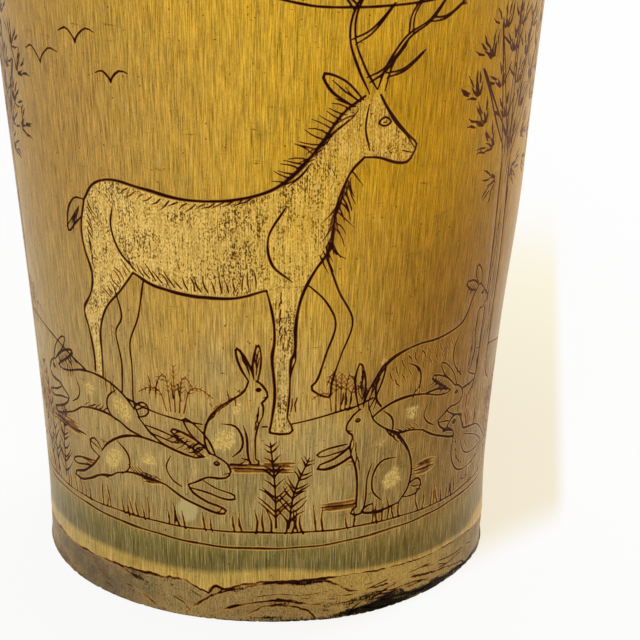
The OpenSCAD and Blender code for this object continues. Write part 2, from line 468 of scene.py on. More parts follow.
def partridge(at, size, flip=False):
    put = at_place(at, size, flip)
    in_front(partridge_outline, put)
    for piece in partridge_outline:
        cut(piece, 0.42, (0.5, 0.5), put)
    cut([(4.4, 37.6), (-0.6, 35.2), (4, 34.8)], 0.36, put=put)
    cut([(18, 26), (24, 17), (34, 13.6), (46, 13.4), (53, 13.8)], 0.36, put=put)
    cut([(21, 27.6), (30, 24.6), (40, 20.6), (52, 14.4)], 0.3, put=put)
    for k in range(6):
        x = 23 + 4.6 * k
        cut([(x, 25 - 1.5 * k), (x + 2.6, 20.6 - 1.2 * k), (x + 6, 17.6 - 0.8 * k)], 0.3, (0.3, 0.1), put,
            ink=0.85)
    hairs([(12.6, 30), (13, 24), (16, 17), (22, 12)], 1.3, -60, 0.6, 0.26, put, flip)
    for x in (24.6, 31):
        cut([(x, 7), (x - 1, 1.6), (x - 5, 0)], 0.36, put=put)
        cut([(x - 1, 1.6), (x + 3, 0)], 0.32, put=put)
    eye((9.8, 38), put)


def bird_flying(at, size=1.0, flip=False):
    put = at_place(at, size, flip)
    cut([(-4, 1.6), (-2.2, 2.4), (-0.4, 0.8), (0, 0)], 0.4, (0.2, 0.8), put)
    cut([(0, 0), (0.6, 1.2), (2.4, 2.8), (4.4, 2.4)], 0.4, (0.8, 0.2), put)


partridge((0, 20), 0.3)
bird_flying((0, 60))
wipe("two birds")

# %% [markdown]
# Plants are made by rule, because a graver makes them by rule too: the same flick again and again,
# fanned out from a stem. A tree is a trunk, a few tapering branches and a crown of leaf sprays, which
# fill an oval and point away from the top of the trunk.

# %% Grass, ferns and trees
def grass(u, v, blades=4, tall=3.4, width=0.56):
    """A tuft: a few upright flicks side by side."""
    for x in u + (np.arange(blades) - (blades - 1) / 2) * hand.uniform(0.7, 1.3):
        start = np.array([x, v - hand.uniform(0, 0.7)])
        flick(start, tall * hand.uniform(0.55, 1.2), np.pi / 2 + hand.normal(0.07, 0.1), width, 0.8)


def sprig(stem, leaf=4.2, pairs=9, width=0.42, first=0.12, ink=1.0):
    """A stem with pairs of leaves that shorten towards its tip and lean along it."""
    stem = through(stem, 0.8)
    cuts.append((stem, 0.2 * pen * np.linspace(1.1, 0.5, len(stem)), ink))
    way = np.arctan2(*np.gradient(stem, axis=0).T[::-1])
    for t in np.linspace(first, 0.98, pairs):
        k = int(t * (len(stem) - 1))
        for side in (-1, 1):
            reach = leaf * (1.08 - 0.78 * t) * hand.uniform(0.8, 1.15)
            flick(stem[k], reach, way[k] + side * (0.78 + 0.1 * t), width, ink * 0.9)


def fern(u, v, tall, lean=0.0, pairs=10, leaf=3.6):
    sprig([(u, v), (u + 0.25 * lean, v + 0.5 * tall), (u + lean, v + tall)], leaf, pairs)


def bramble(u, v, wide, tall, stems=5, ink=0.62):
    """Stems that rise together and arch over to both sides, with short leaves, in a rusty stain."""
    for t in np.linspace(-1, 1, stems):
        high = tall * (1.1 - 0.5 * t * t) * hand.uniform(0.85, 1.1)
        over_top = [(u + 0.4 * t * wide, v + 0.8 * high), (u + 0.68 * t * wide, v + 0.9 * high)]
        sprig([(u + 1.4 * t, v), *over_top, (u + t * wide, v + 0.62 * high)], 1.5, 7, 0.34, 0.4, ink)


def reeds(u, v, wide, tall, many, ink=0.6):
    """Upright flicks set close, the rusty undergrowth at the foot of a tree."""
    for x in u + wide * np.sort(hand.uniform(0, 1, many)):
        start = np.array([x, v + hand.uniform(0, 0.35) * tall])
        flick(start, tall * hand.uniform(0.35, 0.75), np.pi / 2 + hand.normal(0.05, 0.12), 0.42, ink)


def hatch(u, v, wide, rows, gap=0.46, ink=0.62):
    """Rows of level strokes, such as an engraver puts under an animal for its shadow. They are cut
    side by side, so the stain runs together into a rusty patch, and one in three is cut deeper."""
    for k in range(rows):
        a, b = u + hand.uniform(0, 0.2) * wide, u + wide * hand.uniform(0.8, 1)
        y = v + gap * k
        row = [(a, y), ((a + b) / 2, y + hand.normal(0, 0.12)), (b, y + hand.normal(0, 0.1))]
        cut(row, 0.7, (0.1, 0.1), ink=ink, again=False)
        if k % 3 == 1:
            cut([(a + 0.4, y + 0.1), (b - 0.3, y - 0.1)], 0.3, (0.1, 0.1), ink=0.9)


def leaf_spray(at, reach, aim, leaves=7, width=0.56):
    """A fan of leaves, in two rows, that opens 100 degrees about the way that it points."""
    for row, share in ((0, 0.15), (1, 0.55)):
        for k in range(leaves):
            angle = aim + np.radians(100 * ((k + 0.5 * row) / leaves - 0.5)) + hand.normal(0, 0.08)
            start = np.add(at, share * reach * np.array([np.cos(angle), np.sin(angle)]))
            flick(start, reach * hand.uniform(0.36, 0.5), angle + hand.normal(0, 0.15), width, 1.0)


def tree(u, v, tall, crown=(12, 15), trunk=2.4, lean=0.0, every=4.6, seed=0):
    """A trunk, branches from its top, and leaf sprays on a grid of triangles that fills the crown's
    oval, each pushed off its place at random."""
    top, middle = v + tall - 1.6 * crown[1], np.array([u + lean, v + tall - crown[1]])
    left, side = (
        [(u + trunk * root, v), (u + trunk * ankle, v + 3), (u + trunk * waist + 0.3 * lean, (v + top) / 2),
         (u + trunk * neck + lean, top)]
        for root, ankle, waist, neck in ((-1.5, -0.8, -0.62, -0.5), (1.6, 0.85, 0.66, 0.5))
    )
    in_front([left, side[::-1]], on_the_wall)
    cut(left, 0.46), cut(side, 0.5)
    own = np.random.default_rng(seed)
    for k in range(int((top - v) * 0.8)):
        s = own.uniform(0.03, 0.97)
        x = u + lean * s * 0.6 + own.uniform(-0.5, 0.55) * trunk
        y = v + s * (top - v)
        bend, tip = own.normal(0, 0.15), own.normal(0, 0.2)
        cut([(x, y), (x + bend, y + 1.8), (x + tip, y + own.uniform(3, 5.5))], 0.28, (0.15, 0.15), ink=0.85)
    for angle in np.radians((25, 62, 95, 125, 158)):
        tip = middle + 0.72 * np.array([crown[0] * np.cos(angle), crown[1] * np.sin(angle)])
        root = np.array([u + lean + 0.3 * trunk * np.cos(angle), top + own.uniform(-1, 2)])
        branch([root, (root + tip) / 2 + (0, -0.8), tip], 0.32 * trunk, on_the_wall, 0.36)
    gu, gv = np.meshgrid(
        np.arange(-crown[0], crown[0] + 1, every), np.arange(-crown[1], crown[1] + 1, every * 0.87))
    gu[::2] += every / 2
    places = np.stack([gu.ravel(), gv.ravel()], 1)
    in_crown = np.hypot(places[:, 0] / crown[0], places[:, 1] / crown[1]) < 0.92
    places = places[in_crown] + own.normal(0, 0.5, (1, 2))
    for q in places:
        aim = np.arctan2(q[1] + 0.7 * crown[1], q[0])
        leaf_spray(middle + q + own.normal(0, 0.5, 2), every * 0.95, aim, leaves=5)


tree(41, 32, 58)
wipe("a tree")

# %% A hurdle
def hurdle(u, v, bays=5, wide=7.0, tall=12.0):
    """Stakes with woven rods between them, drawn as pairs of lines that pass in front of every
    second stake."""
    for k in range(bays + 1):
        x = u + k * wide
        cut([(x - 0.7, v - 0.5), (x - 0.6, v + tall / 2), (x - 0.5, v + tall)], 0.4)
        cut([(x + 0.8, v - 0.5), (x + 0.7, v + tall / 2), (x + 0.6, v + tall)], 0.4)
        cut([(x - 0.5, v + tall), (x + 0.1, v + tall + 0.7), (x + 0.6, v + tall)], 0.36)
    for row in range(4):
        y = v + 1.8 + row * tall / 4.4
        for side in (0, 1.1):
            cut([
                (u + k * wide / 2, y + side + 0.35 * np.cos(np.pi * (k / 2 + row)))
                for k in range(-1, 2 * bays + 2)
            ], 0.36)


hurdle(60, 34)
wipe("a hurdle")

# %% [markdown]
# Now the whole picture goes round the cup, from what is farthest to what is nearest: the far hills,
# the trees and the large animals, the small animals in front of them, and last the grass. The front
# of the cup is at nought. The seam of the unrolled sheet is at the back, where only the border lines
# and the ledge of the foot cross it, and those end where they began.

# %% The picture round the wall
for line in (
    [(-58, 93), (-44, 91.4), (-30, 93), (-14, 95.4), (-2, 93.6)],
    [(-8, 94.4), (4, 91.2), (16, 90.4), (28, 91.8), (38, 94)],
    [(58, 92), (70, 94.6), (84, 92), (98, 93.6), (112, 91.6)],
    [(-112, 91), (-98, 94.4), (-82, 92.4), (-66, 94.6), (-54, 92.4)],
):
    cut(line, 0.36)
for at, size in (((-34, 80), 0.9), ((-26.5, 84), 0.75), ((-21, 79.4), 0.6), ((66, 80), 0.9),
                 ((74, 83.4), 0.7), ((-92, 82), 0.8)):
    bird_flying(at, size)
for line in (
    [(-62, 36), (-50, 39.4), (-40, 38.4), (-28, 34.6)],
    [(-30, 35.4), (-16, 31.6), (0, 31.2), (14, 33.6)],
    [(12, 33), (24, 36.6), (38, 37), (56, 33.6)],
    [(56, 34), (72, 37), (90, 34.6), (108, 37), (117, 35.4)],
    [(-116, 35.2), (-100, 32.6), (-84, 35.6), (-60, 36.4)],
):
    cut(line, 0.34)

hurdle(58, 36, bays=5)
tree(41.5, 30, 61, crown=(12.5, 15.5), trunk=2.7, lean=-1.5, seed=3)
tree(-52, 30, 58, crown=(11.5, 14), trunk=2.3, lean=1.5, seed=5)
tree(103, 30, 60, crown=(12, 15), trunk=2.6, lean=-1, seed=9)
stag((-37, 30), 0.58)
stag((-62, 31), 0.5, flip=True)
for at, wide, tall in (((-14, 32.4), 6, 7), ((-4, 31.6), 4, 5), ((11, 33.2), 4.5, 6), ((-48, 38), 5, 7),
                       ((74, 37), 6, 7)):
    bramble(*at, wide, tall)
hind_at_rest((15, 31.5), 0.27)
hind_at_rest((98, 32), 0.27, flip=True)
print("the far side of the wood:", len(cuts), "cuts")

# %% The animals in front
reeds(35, 20, 15, 13, 46)
reeds(-52, 22, 10, 12, 26)
reeds(96, 22, 16, 12, 30)
hatch(-44, 24.4, 12, 4)
hatch(-7, 24, 12, 4)
hatch(11, 24.4, 15, 3)
hare_running((-15, 25.5), 0.28, flip=True)
hare_sitting((-11.5, 25), 0.21)
hare_running((9, 24), 0.27)
hare_running((78, 22.6), 0.29, flip=True)
hare_running((-84, 23.4), 0.28)
for at, tall, lean in (((-43, 15.6), 17, -3), ((-45.5, 15.6), 13, -6), ((-40, 15.6), 12, 2),
                       ((3.5, 15.2), 11, 3), ((1.5, 15.2), 13.5, -1)):
    fern(*at, tall, lean)
for at, tall, lean in (((49, 15.6), 15, 2), ((52, 15.6), 11, 5), ((84, 15.6), 14, -2), ((-76, 15.6), 15, 2),
                       ((-110, 15.6), 14, 0), ((112, 15.6), 12, 1)):
    fern(*at, tall, lean)
for at, wide, rows in (((-34, 19.2), 8, 4), ((-21, 20.4), 9, 4), ((8, 17.6), 9, 3), ((36, 17.6), 9, 4),
                       ((24, 20.6), 7, 4)):
    hatch(*at, wide, rows)
hare_running((-35, 16.8), 0.3)
hare_sitting((27, 16), 0.27, flip=True)
partridge((31, 15.6), 0.29)
hare_running((84, 16.4), 0.3, flip=True)
hare_sitting((90, 15.8), 0.27)
partridge((-66, 15.6), 0.28)
hare_running((-108, 16.4), 0.3)
print("the whole wood:", len(cuts), "cuts")

# %% Grass and the border lines
for u in np.arange(-116, 117, 4.6):
    grass(u + hand.uniform(-1.2, 1.2), 14.7, int(hand.integers(2, 5)))
for u in np.arange(-114, 115, 7.3):
    grass(u + hand.uniform(-2, 2), 34 + hand.uniform(-1, 1), int(hand.integers(2, 4)), 2.6, 0.32)


def border(height, wave, width):
    """A line right round the cup that ends where it began: its height is a sum of whole waves."""
    u = np.linspace(-half_round, half_round, 341)
    turn = u / drawing_r
    v = height + sum(size * np.cos(count * turn + start) for count, size, start in wave)
    press = 1 + 0.3 * np.cos(17 * turn + 1) * np.cos(6 * turn) + 0.12 * np.cos(43 * turn)
    cuts.append((np.stack([u, v], 1), pen * width / 2 * press, 0.86))


border(14.45, ((1, -0.1, 0), (3, 0.08, 1.0), (11, 0.06, 0.4), (29, 0.04, 1)), 0.36)
border(12.75, ((2, -0.45, 0), (3, -0.35, 0), (4, -0.12, 0.3), (13, 0.05, 0), (31, 0.04, 2)), 0.44)
border(113.2, ((2, 0.12, 1), (9, 0.05, 0)), 0.5)
border(111.4, ((3, 0.14, 2), (7, 0.05, 0)), 0.4)
lengths = [np.hypot(*np.diff(p, axis=0).T).sum() for p, _, _ in cuts]
print("cuts in all:", len(cuts), "of", round(sum(lengths) / 1000, 2), "m")

# %% [markdown]
# Below the two lines the foot is old and worn. Horn is made of thin layers, and where the foot has
# been wetted and knocked, the polished skin has come away in a ledge right round the cup and the
# layers under it lift one after another. Each layer is a line: what lies under it is set back a
# step. The same lines are cut into the drawing, so each edge shows as a thin dark line.

# %% Layers that have come away at the foot
layers = []  # each is (the layer's edge on the drawing, how far it is set back, how dark it is)


def layer(points, step, width=0.2, ink=0.7, dark=0.0, clean=(0, 0)):
    """A layer's edge, with a thin dark line along it that comes and goes, and that is faint between
    the two places round the cup named as clean. What lies under it is set back by step."""
    edge = evenly(points, 0.5)
    layers.append((edge, step, dark))
    part = edge[edge[:, 1] > 0.15]
    part = part + (0, 1) * (hand.normal(0, 0.07, part.shape) - 0.06)
    every = np.arange(0, len(part) + 5, 5)
    press = np.interp(np.arange(len(part)), every, hand.uniform(0.25, 1.5, len(every)))
    press *= np.where((part[:, 0] > clean[0]) & (part[:, 0] < clean[1]), 0.45, 1)
    if part[-1, 0] - part[0, 0] > 2 * half_round - 1:
        part[-1, 1], press[-1] = part[0, 1], press[0]
    cuts.append((part, width / 2 * press, ink))
    return edge


ledge = layer([(-half_round, 5.9), (-104, 6.2), (-85, 5.4), (-65, 5.9), (-50, 5.3), (-37, 5.1), (-27, 5.45),
               (-16, 5.75), (-13.5, 5.85), (-11.4, 5.0), (-9.4, 4.2), (-8.4, 5.5), (-6.3, 5.0), (-3.8, 6.0),
               (0, 6.55), (6, 6.5), (11, 6.7), (18, 6.5), (27, 6.2), (38, 6.2), (52, 4.9), (70, 5.4),
               (90, 6.1), (105, 5.6), (half_round, 5.9)], 0.1, 0.28, 0.9, clean=(12, 60))
layer([(-14, -0.7), (-13, 0.9), (-10.9, 2.5), (-9, 3.8), (-6.8, 5.0), (-3.8, 5.9), (0, 6.3), (9, 6.2),
       (10.1, 6.0), (11.9, 5.1), (13.9, 4.0), (16.2, 3.75), (22, 3.8), (27, 3.5), (33.6, 2.65), (40, 1.6),
       (44, -0.7)], 0.08, 0.28, 0.85)
layer([(-9.6, -0.7), (-8.9, 0.7), (-7.1, 1.8), (-5.3, 2.4), (-3.1, 3.0), (1.8, 3.6), (4.6, 3.3), (7.1, 2.5),
       (9.5, 2.6), (11.4, 1.6), (12.5, -0.7)], 0.07, 0.28, 0.85)
layer([(-4.6, -0.7), (-3.9, 0.6), (-2.4, 1.6), (-0.4, 2.5), (1.8, 2.7), (4.6, 2.4), (7.1, 1.4), (9, -0.7)],
      0.07, 0.22, 0.85)
layer([(12.4, -0.7), (13.4, 0.3), (15.2, 0.9), (17.5, 1.0), (20, 1.5), (21.6, 2.2), (23.8, 2.3), (25.4, 1.2),
       (28, 0.9), (30, 1.15), (32, 1.5), (34.2, 1.0), (37.6, 1.1), (41, 0.8), (45, 0.8), (48, -0.7)], 0.14,
      0.34, 1.0, dark=0.84)
layer([(-60, -0.7), (-57, 1.4), (-51, 2.6), (-44, 2.1), (-40, 0.8), (-38, -0.7)], 0.08, 0.2, 0.75)
layer([(64, -0.7), (68, 1.6), (75, 2.6), (84, 3.4), (92, 2.4), (98, 1.2), (101, -0.7)], 0.1, 0.22, 0.8)
layer([(-100, -0.7), (-95, 1.2), (-88, 2.2), (-80, 1.8), (-75, 0.7), (-72, -0.7)], 0.1, 0.22, 0.8, dark=0.5)
# short cracks and lifted edges between the layers
for points, width in (
    ([(-26.7, 5.4), (-25, 5.0), (-22.2, 4.0), (-18.9, 3.05)], 0.32),
    ([(5.5, 3.5), (11, 3.4), (14.5, 3.3), (17.5, 3.9), (21.3, 4.5), (24.7, 4.7), (29.3, 4.4), (34.5, 3.2)],
     0.16),
    ([(-2, 3.9), (2, 4.4), (6, 4.1), (10, 4.4)], 0.12),
    ([(40, 4.4), (44, 3.5), (49, 3.3)], 0.16),
    ([(80, 4.6), (84, 4.2), (90, 4.4)], 0.16),
    ([(-9, 3.6), (-6.5, 4.8), (-3, 5.6), (1.5, 6.1), (7, 5.9)], 0.3),
    ([(-7.4, 1.5), (-4, 2.5), (0.4, 3.3), (3.4, 3.2), (6, 2.7), (9.6, 2.1)], 0.3),
    ([(8, 2.5), (10.4, 2.9), (13, 2.2), (15.2, 2.6), (18.4, 2.9), (22, 2.5), (26, 2.7), (30, 2.0)], 0.26),
    ([(13.6, 1.6), (16.4, 2.6), (20, 2.3), (24.5, 2.1), (28.4, 2.3)], 0.3),
    ([(3.6, 6.2), (6, 6.0), (8, 6.3), (9.4, 5.9)], 0.3),
    ([(-34, 3.8), (-31, 3.3), (-28.4, 2.2)], 0.34),
    ([(-24.4, 2.7), (-21.4, 2.0), (-18.8, 0.8)], 0.34),
    ([(-30.5, 1.7), (-27.6, 1.1)], 0.22),
    ([(-15.4, 2.8), (-13.2, 1.6), (-12.4, 0.6)], 0.34),
    ([(-12.6, 4.4), (-10.6, 3.4)], 0.2),
    ([(31, 3.3), (35, 3.0), (39, 3.3), (44, 2.6)], 0.2),
    ([(24, 4.3), (29, 4.5), (36, 3.9), (41, 3.9)], 0.16),
    ([(14, 4.7), (15.6, 4.4), (18, 4.6)], 0.2),
    ([(17, 1.5), (20.5, 1.0), (24, 1.1), (29, 0.5)], 0.24),
    ([(15.5, 0.9), (18.6, 0.4), (22, 0.5)], 0.22),
    ([(13.4, 0.2), (15.2, 1.4), (16.9, 2.1), (18.4, 2.2), (20.1, 2.9), (22.9, 3.5)], 0.3),
    ([(30, 1.6), (35, 1.5), (40, 1.0), (46, 1.1)], 0.22),
):
    cut(points, width, (0.4, 0.2), shake=0.12, ink=0.85)
print(len(layers), "layers at the foot")

# %% [markdown]
# A grid can't hold lines as fine as these, so the engraved wall is made another way. Every cut
# becomes three lines: the bottom of its groove and the two sides where the skin is plain again. They
# go with a loose net of points into a Delaunay triangulation that must keep the lines. The triangles
# are small along the cuts and large where the horn is plain.

# %% Three lines for every cut
lip_share, lip_least = 2.2, 0.1  # how much wider than its groove a cut reaches
side_points, side_edges = [], []


def add_line(points, closed=False):
    """Puts a broken line on the list for the triangulation: its points, and an edge between each two."""
    first = sum(map(len, side_points))
    k = np.arange(first, first + len(points))
    side_points.append(points)
    side_edges.append(np.stack([k, np.roll(k, -1)], 1)[: None if closed else -1])


def reach_of(half_width):
    """How far a cut reaches from its middle: the stained groove and the pale lip beside it, a painted
    highlight.
    """
    return lip_share * half_width + lip_least


def round_the_cup(p):
    """Whether a line runs right round the cup, from one end of the drawing to the other."""
    return p[-1, 0] - p[0, 0] > 2 * half_round - 1


for p, w, ink in cuts:
    if round_the_cup(p):
        for side in (-1, 0, 1):
            add_line(p + np.stack([0 * w, side * reach_of(w)], 1))
        continue
    way = np.gradient(p, axis=0)
    way /= np.maximum(np.hypot(*way.T), 1e-6)[:, None]
    out = np.stack([-way[:, 1], way[:, 0]], 1) * reach_of(w)[:, None]
    add_line(p)
    tips = (p[:1] - way[:1] * reach_of(w[0]), p[-1:] + way[-1:] * reach_of(w[-1]))
    add_line(np.vstack([p + out, tips[1], (p - out)[::-1], tips[0]]), closed=True)
print("lines give", sum(map(len, side_points)), "points")

# %% The net between the lines
columns = 168
net, net_row, foot_net, foot_top = 1.8, 0.87, 0.8, 6.4  # rows 0.87 of a step apart: even triangles
foot_rows = (-0.15, 0.25, 0.75, 1.3, 1.9, 2.6, 3.4, 4.2, 5.0, 5.8)
jitter, clear_of_cuts, clear_of_seam = 0.12, 0.55, 0.3
lip_z = cup_h - lip_wall / 2
net_u, net_v = np.meshgrid(
    np.arange(-half_round + net, half_round - net / 2, net), np.arange(net, lip_z - 0.8, net * net_row))
net_u[::2] += net / 2
foot_u, foot_v = np.meshgrid(
    np.arange(-half_round + foot_net, half_round - foot_net / 2, foot_net), foot_rows)
loose = np.vstack([np.stack([u.ravel(), v.ravel()], 1) for u, v in ((net_u, net_v), (foot_u, foot_v))])
loose += hand.uniform(-jitter, jitter, loose.shape)
of_foot = np.arange(len(loose)) >= net_u.size
loose = loose[(np.abs(loose[:, 0]) < half_round - clear_of_seam) & ((loose[:, 1] > foot_top) | of_foot)]


def too_close(points, others, least):
    """Which points lie in the same small cell as one of the others."""
    cells = {tuple(c) for c in np.floor(others / least).astype(int)}
    return np.array([tuple(c) in cells for c in np.floor(points / least).astype(int)])


loose = loose[~too_close(loose, np.vstack(side_points), clear_of_cuts)]
round_u = np.linspace(-half_round, half_round, columns + 1)
rings_cut = [(p[0, 1], reach_of(w[0])) for p, w, _ in cuts if round_the_cup(p)]
crossings = np.hstack([v + side * reach for v, reach in rings_cut for side in (-1, 0, 1)])
seam_v = np.r_[0.2, 0.7, np.arange(1.5, lip_z - 1, 1.5)]
seam_v = seam_v[np.abs(seam_v[:, None] - crossings).min(1) > clear_of_seam]
rim_points = [np.stack([round_u, np.full(columns + 1, v)], 1) for v in (lowest_v, lip_z)]
seam_points = [np.stack([np.full(len(seam_v), u), seam_v], 1) for u in (-half_round, half_round)]
all_points = [Vector(p) for p in np.vstack([*side_points, loose, *rim_points, *seam_points])]
same_place = 0.008  # points closer than this become one
edges = np.vstack(side_edges).tolist()
flat, _, triangles, *_ = delaunay_2d_cdt(all_points, edges, [], 0, same_place, False)
flat = np.array([p[:] for p in flat])
flat[:, 0] = flat[:, 0].clip(-half_round, half_round)
triangles = np.array(triangles)
a, b, c = flat[triangles[:, 0]], flat[triangles[:, 1]], flat[triangles[:, 2]]
if np.cross(b - a, c - a).sum() < 0:
    triangles = triangles[:, ::-1]
print("the unrolled wall has", len(flat), "points and", len(triangles), "triangles")

# %% [markdown]
# Each point of the wall now learns what it is part of: how deep in a cut it lies, whether it is on
# the stippled coat, under the worn ledge, or on the clean skin. Distances are only worked out
# between points and cuts that share a cell of the drawing, which keeps the work small. Horn that is
# often wet swells, so the foot also stands out a little, more on the right and along its lower edge.
# Half way up on the right the side isn't quite round either. The wall is darker along its very foot.

# %% How deep in a cut each point lies
starts = np.vstack([p[:-1] for p, _, _ in cuts])
stops = np.vstack([p[1:] for p, _, _ in cuts])
start_w = np.hstack([w[:-1] for _, w, _ in cuts])
stop_w = np.hstack([w[1:] for _, w, _ in cuts])
inks = np.hstack([np.full(len(w) - 1, ink) for _, w, ink in cuts])
stain, groove = np.zeros(len(flat)), np.zeros(len(flat))
cell, farthest = 5.0, 0.9
groove_share = 0.62  # the depth of a groove against its half width
low, high = np.minimum(starts, stops) - farthest, np.maximum(starts, stops) + farthest
for cu in np.arange(-half_round, half_round, cell):
    row = (flat[:, 0] >= cu) & (flat[:, 0] < cu + cell + 1e-3)
    near_row = (high[:, 0] > cu) & (low[:, 0] < cu + cell)
    for cv in np.arange(-0.5, cup_h, cell):
        here = np.flatnonzero(row & (flat[:, 1] >= cv) & (flat[:, 1] <= cv + cell))
        near = np.flatnonzero(near_row & (high[:, 1] > cv) & (low[:, 1] < cv + cell))
        if len(here) and len(near):
            way = stops[near] - starts[near]
            off = flat[here][:, None] - starts[near]
            t = ((off * way).sum(-1) / np.maximum((way**2).sum(-1), 1e-9)).clip(0, 1)
            gap = np.hypot(*np.moveaxis(off - t[..., None] * way, -1, 0))
            w = start_w[near] + t * (stop_w[near] - start_w[near])
            share = (1 - gap / reach_of(w)).clip(0, 1)
            stain[here] = (share * inks[near]).max(1)
            groove[here] = (share * w).max(1)
deepest = float(groove_share * groove.max())
print("stained points:", int((stain > 0).sum()), "deepest groove:", round(deepest, 3), "mm")

# %% What else each point is part of
def ramp(x, low, high):
    """0 below low, 1 above high, and a smooth step between."""
    t = np.clip((x - low) / (high - low), 0, 1)
    return t * t * (3 - 2 * t)


across = int(2 * half_round) + 1
middles = (starts + stops) / 2
amount = np.hypot(*(stops - starts).T) * (start_w + stop_w) * inks
cu = np.clip(middles[:, 0] + half_round, 0, across - 1).astype(int)
cv = np.clip(middles[:, 1], 0, cup_h - 1).astype(int)
crowd = np.zeros((across, int(cup_h)))
np.add.at(crowd, (cu, cv), amount)
spread = np.exp(-(np.arange(-4, 5) / 1.8) ** 2)
spread /= spread.sum()
for axis in (0, 1):
    crowd = np.apply_along_axis(np.convolve, axis, crowd, spread, "same")
cu = np.clip(flat[:, 0] + half_round - 0.5, 0, across - 1.01)
cv = np.clip(flat[:, 1] - 0.5, 0, cup_h - 1.01)
iu, iv, fu, fv = cu.astype(int), cv.astype(int), cu % 1, cv % 1
grime = (crowd[iu, iv] * (1 - fu) + crowd[iu + 1, iv] * fu) * (1 - fv)
grime += (crowd[iu, iv + 1] * (1 - fu) + crowd[iu + 1, iv + 1] * fu) * fv
print("the most crowded place has", round(float(grime.max()), 2), "mm of stain to the square millimetre")

coat = np.zeros(len(flat))
for outline, value in patches:
    box = np.flatnonzero(((flat > outline.min(0)) & (flat < outline.max(0))).all(1))
    coat[box[inside(flat[box], outline)]] = value

set_back, dark, peel = np.zeros(len(flat)), np.zeros(len(flat)), np.zeros(len(flat))
for edge, step, darkness in layers:
    top = np.interp(flat[:, 0], edge[:, 0], edge[:, 1], left=-1, right=-1)
    under = ramp(top - flat[:, 1], -0.07, 0.12)
    set_back += step * under
    peel += under
    dark = np.maximum(dark, darkness * under)
set_back *= 0.35 + 0.65 * ramp(flat[:, 1], -0.3, 0.8)
above = flat[:, 1] - np.interp(flat[:, 0], ledge[:, 0], ledge[:, 1])
foot = ramp(-above, -0.1, 0.1)
print("on the coat:", int((coat > 0).sum()), "under the ledge:", int((foot > 0.5).sum()))

# %% Swelling, the dark edge and spots
def hump(u, wide):
    """A bell curve along the wall, exp(-((x - u) / wide) ** 2): 1 at u, and 0.37 at wide from it."""
    return np.exp(-(((flat[:, 0] - u) / wide) ** 2))


swell = 0.22 * ramp(9 - flat[:, 1], 0, 7) + 0.34 * hump(44, 22) * ramp(15 - flat[:, 1], 0, 10)
swell += (0.47 + 0.4 * hump(14, 9) - 0.3 * hump(38, 12)) * ramp(0.9 - flat[:, 1], 0, 1)
for out, u, wide, v, tall in ((0.36, 56, 22, 55, 12), (-0.32, 58, 9, 1.3, 1.6)):
    swell += out * np.exp(-(((flat[:, 0] - u) / wide) ** 2) - ((flat[:, 1] - v) / tall) ** 2)

edge_dark_u = (-half_round, -60, -30, -20, 0, 10, 20, 40, 48, 60, half_round)
edge_dark_share = np.interp(flat[:, 0], edge_dark_u, (0.6, 0.4, 0.45, 0.6, 0.8, 0.85, 1, 1, 0.9, 0.6, 0.6))
edge_dark_top = np.interp(flat[:, 0], edge_dark_u, (0.6, 0.6, 0.4, 0.35, 0.25, 0.45, 1.7, 1.2, 0.9, 0.8, 0.6))
dark = np.maximum(dark, edge_dark_share * ramp(edge_dark_top - flat[:, 1], -0.4, 0.4))


def nearness(marks):
    """How near each point is to the middle of an oval mark: 1 in the middle, 0.4 on its edge, then 0."""
    most = np.zeros(len(flat))
    for u, v, long, tall, lean, strength in marks:
        lean = np.radians(lean)
        du, dv = flat[:, 0] - u, flat[:, 1] - v
        x = (du * np.cos(lean) + dv * np.sin(lean)) / long
        y = (dv * np.cos(lean) - du * np.sin(lean)) / tall
        most = np.maximum(most, strength * (1 - 0.6 * np.hypot(x, y)).clip(0, 1))
    return most


# like the spots, each is (middle, half length, half height, lean in degrees, how strong it is)
pale_marks = (
    (-12.6, 17.2, 1.9, 2.1, 0, 1.0), (-20.6, 9.6, 0.8, 0.7, 0, 0.6), (22, 40, 0.9, 1.2, 0, 0.5),
    (70, 9, 1.6, 1.2, 0, 0.8), (-80, 48, 1.8, 2.6, 0, 0.7),
)
dark_blots = (
    (10, 2.0, 2.4, 0.5, 8, 1.0), (20, 1.5, 4.5, 0.8, 2, 1.0), (2, 0.9, 4, 0.5, 0, 0.7),
    (-21.5, 4.3, 3.4, 0.7, -18, 0.8), (-16, 4.6, 1.8, 0.7, -20, 0.7), (-4, 5.2, 2.5, 0.5, 20, 0.7),
    (2.5, 2.9, 3.5, 0.6, 0, 0.7), (7, 6.1, 3, 0.4, 0, 0.9), (12, 2.5, 2.4, 0.6, -25, 0.8),
    (17, 2.4, 4, 0.7, 5, 0.9), (26, 2.3, 3, 0.6, 0, 0.7), (31, 1.3, 5, 0.6, 8, 0.8),
)
worn, pale = nearness(spots), nearness(pale_marks)
dark = np.maximum(dark, 0.9 * nearness(dark_blots))
# the bands of painted shade and light low on the wall sit a little higher or lower from place to place
band_u = (-half_round, -90, -60, -36, -28, -18, -9, 1, 6, 11, 19, 40, 47, 60, 80, half_round)
band_shift = (0, 0.5, -0.4, -0.1, 0.0, -0.3, -0.3, 0.9, 0.4, -0.3, -1.1, -1.2, 0.2, -0.3, -0.6, 0)
band = flat[:, 1] - np.interp(flat[:, 0], band_u, band_shift)
print("the foot stands out by up to", round(float(swell.max()), 2), "mm")

# %% [markdown]
# The rest of the wall is turned: a section carried round the axis, over the round lip, down the
# bore, into the groove that holds the disc, and out to the foot. Its first and last rings are the
# same points as the ends of the engraved side, so the two make one closed skin.

# %% The rest of the wall
# each is (how many go round, how it twists with height, where it starts, its size)
waves = ((1, 0.03, 0.6, 0.02), (2, -0.05, 1.9, 0.02), (3, 0.08, 4.0, 0.012), (5, 0.02, 2.2, 0.01))


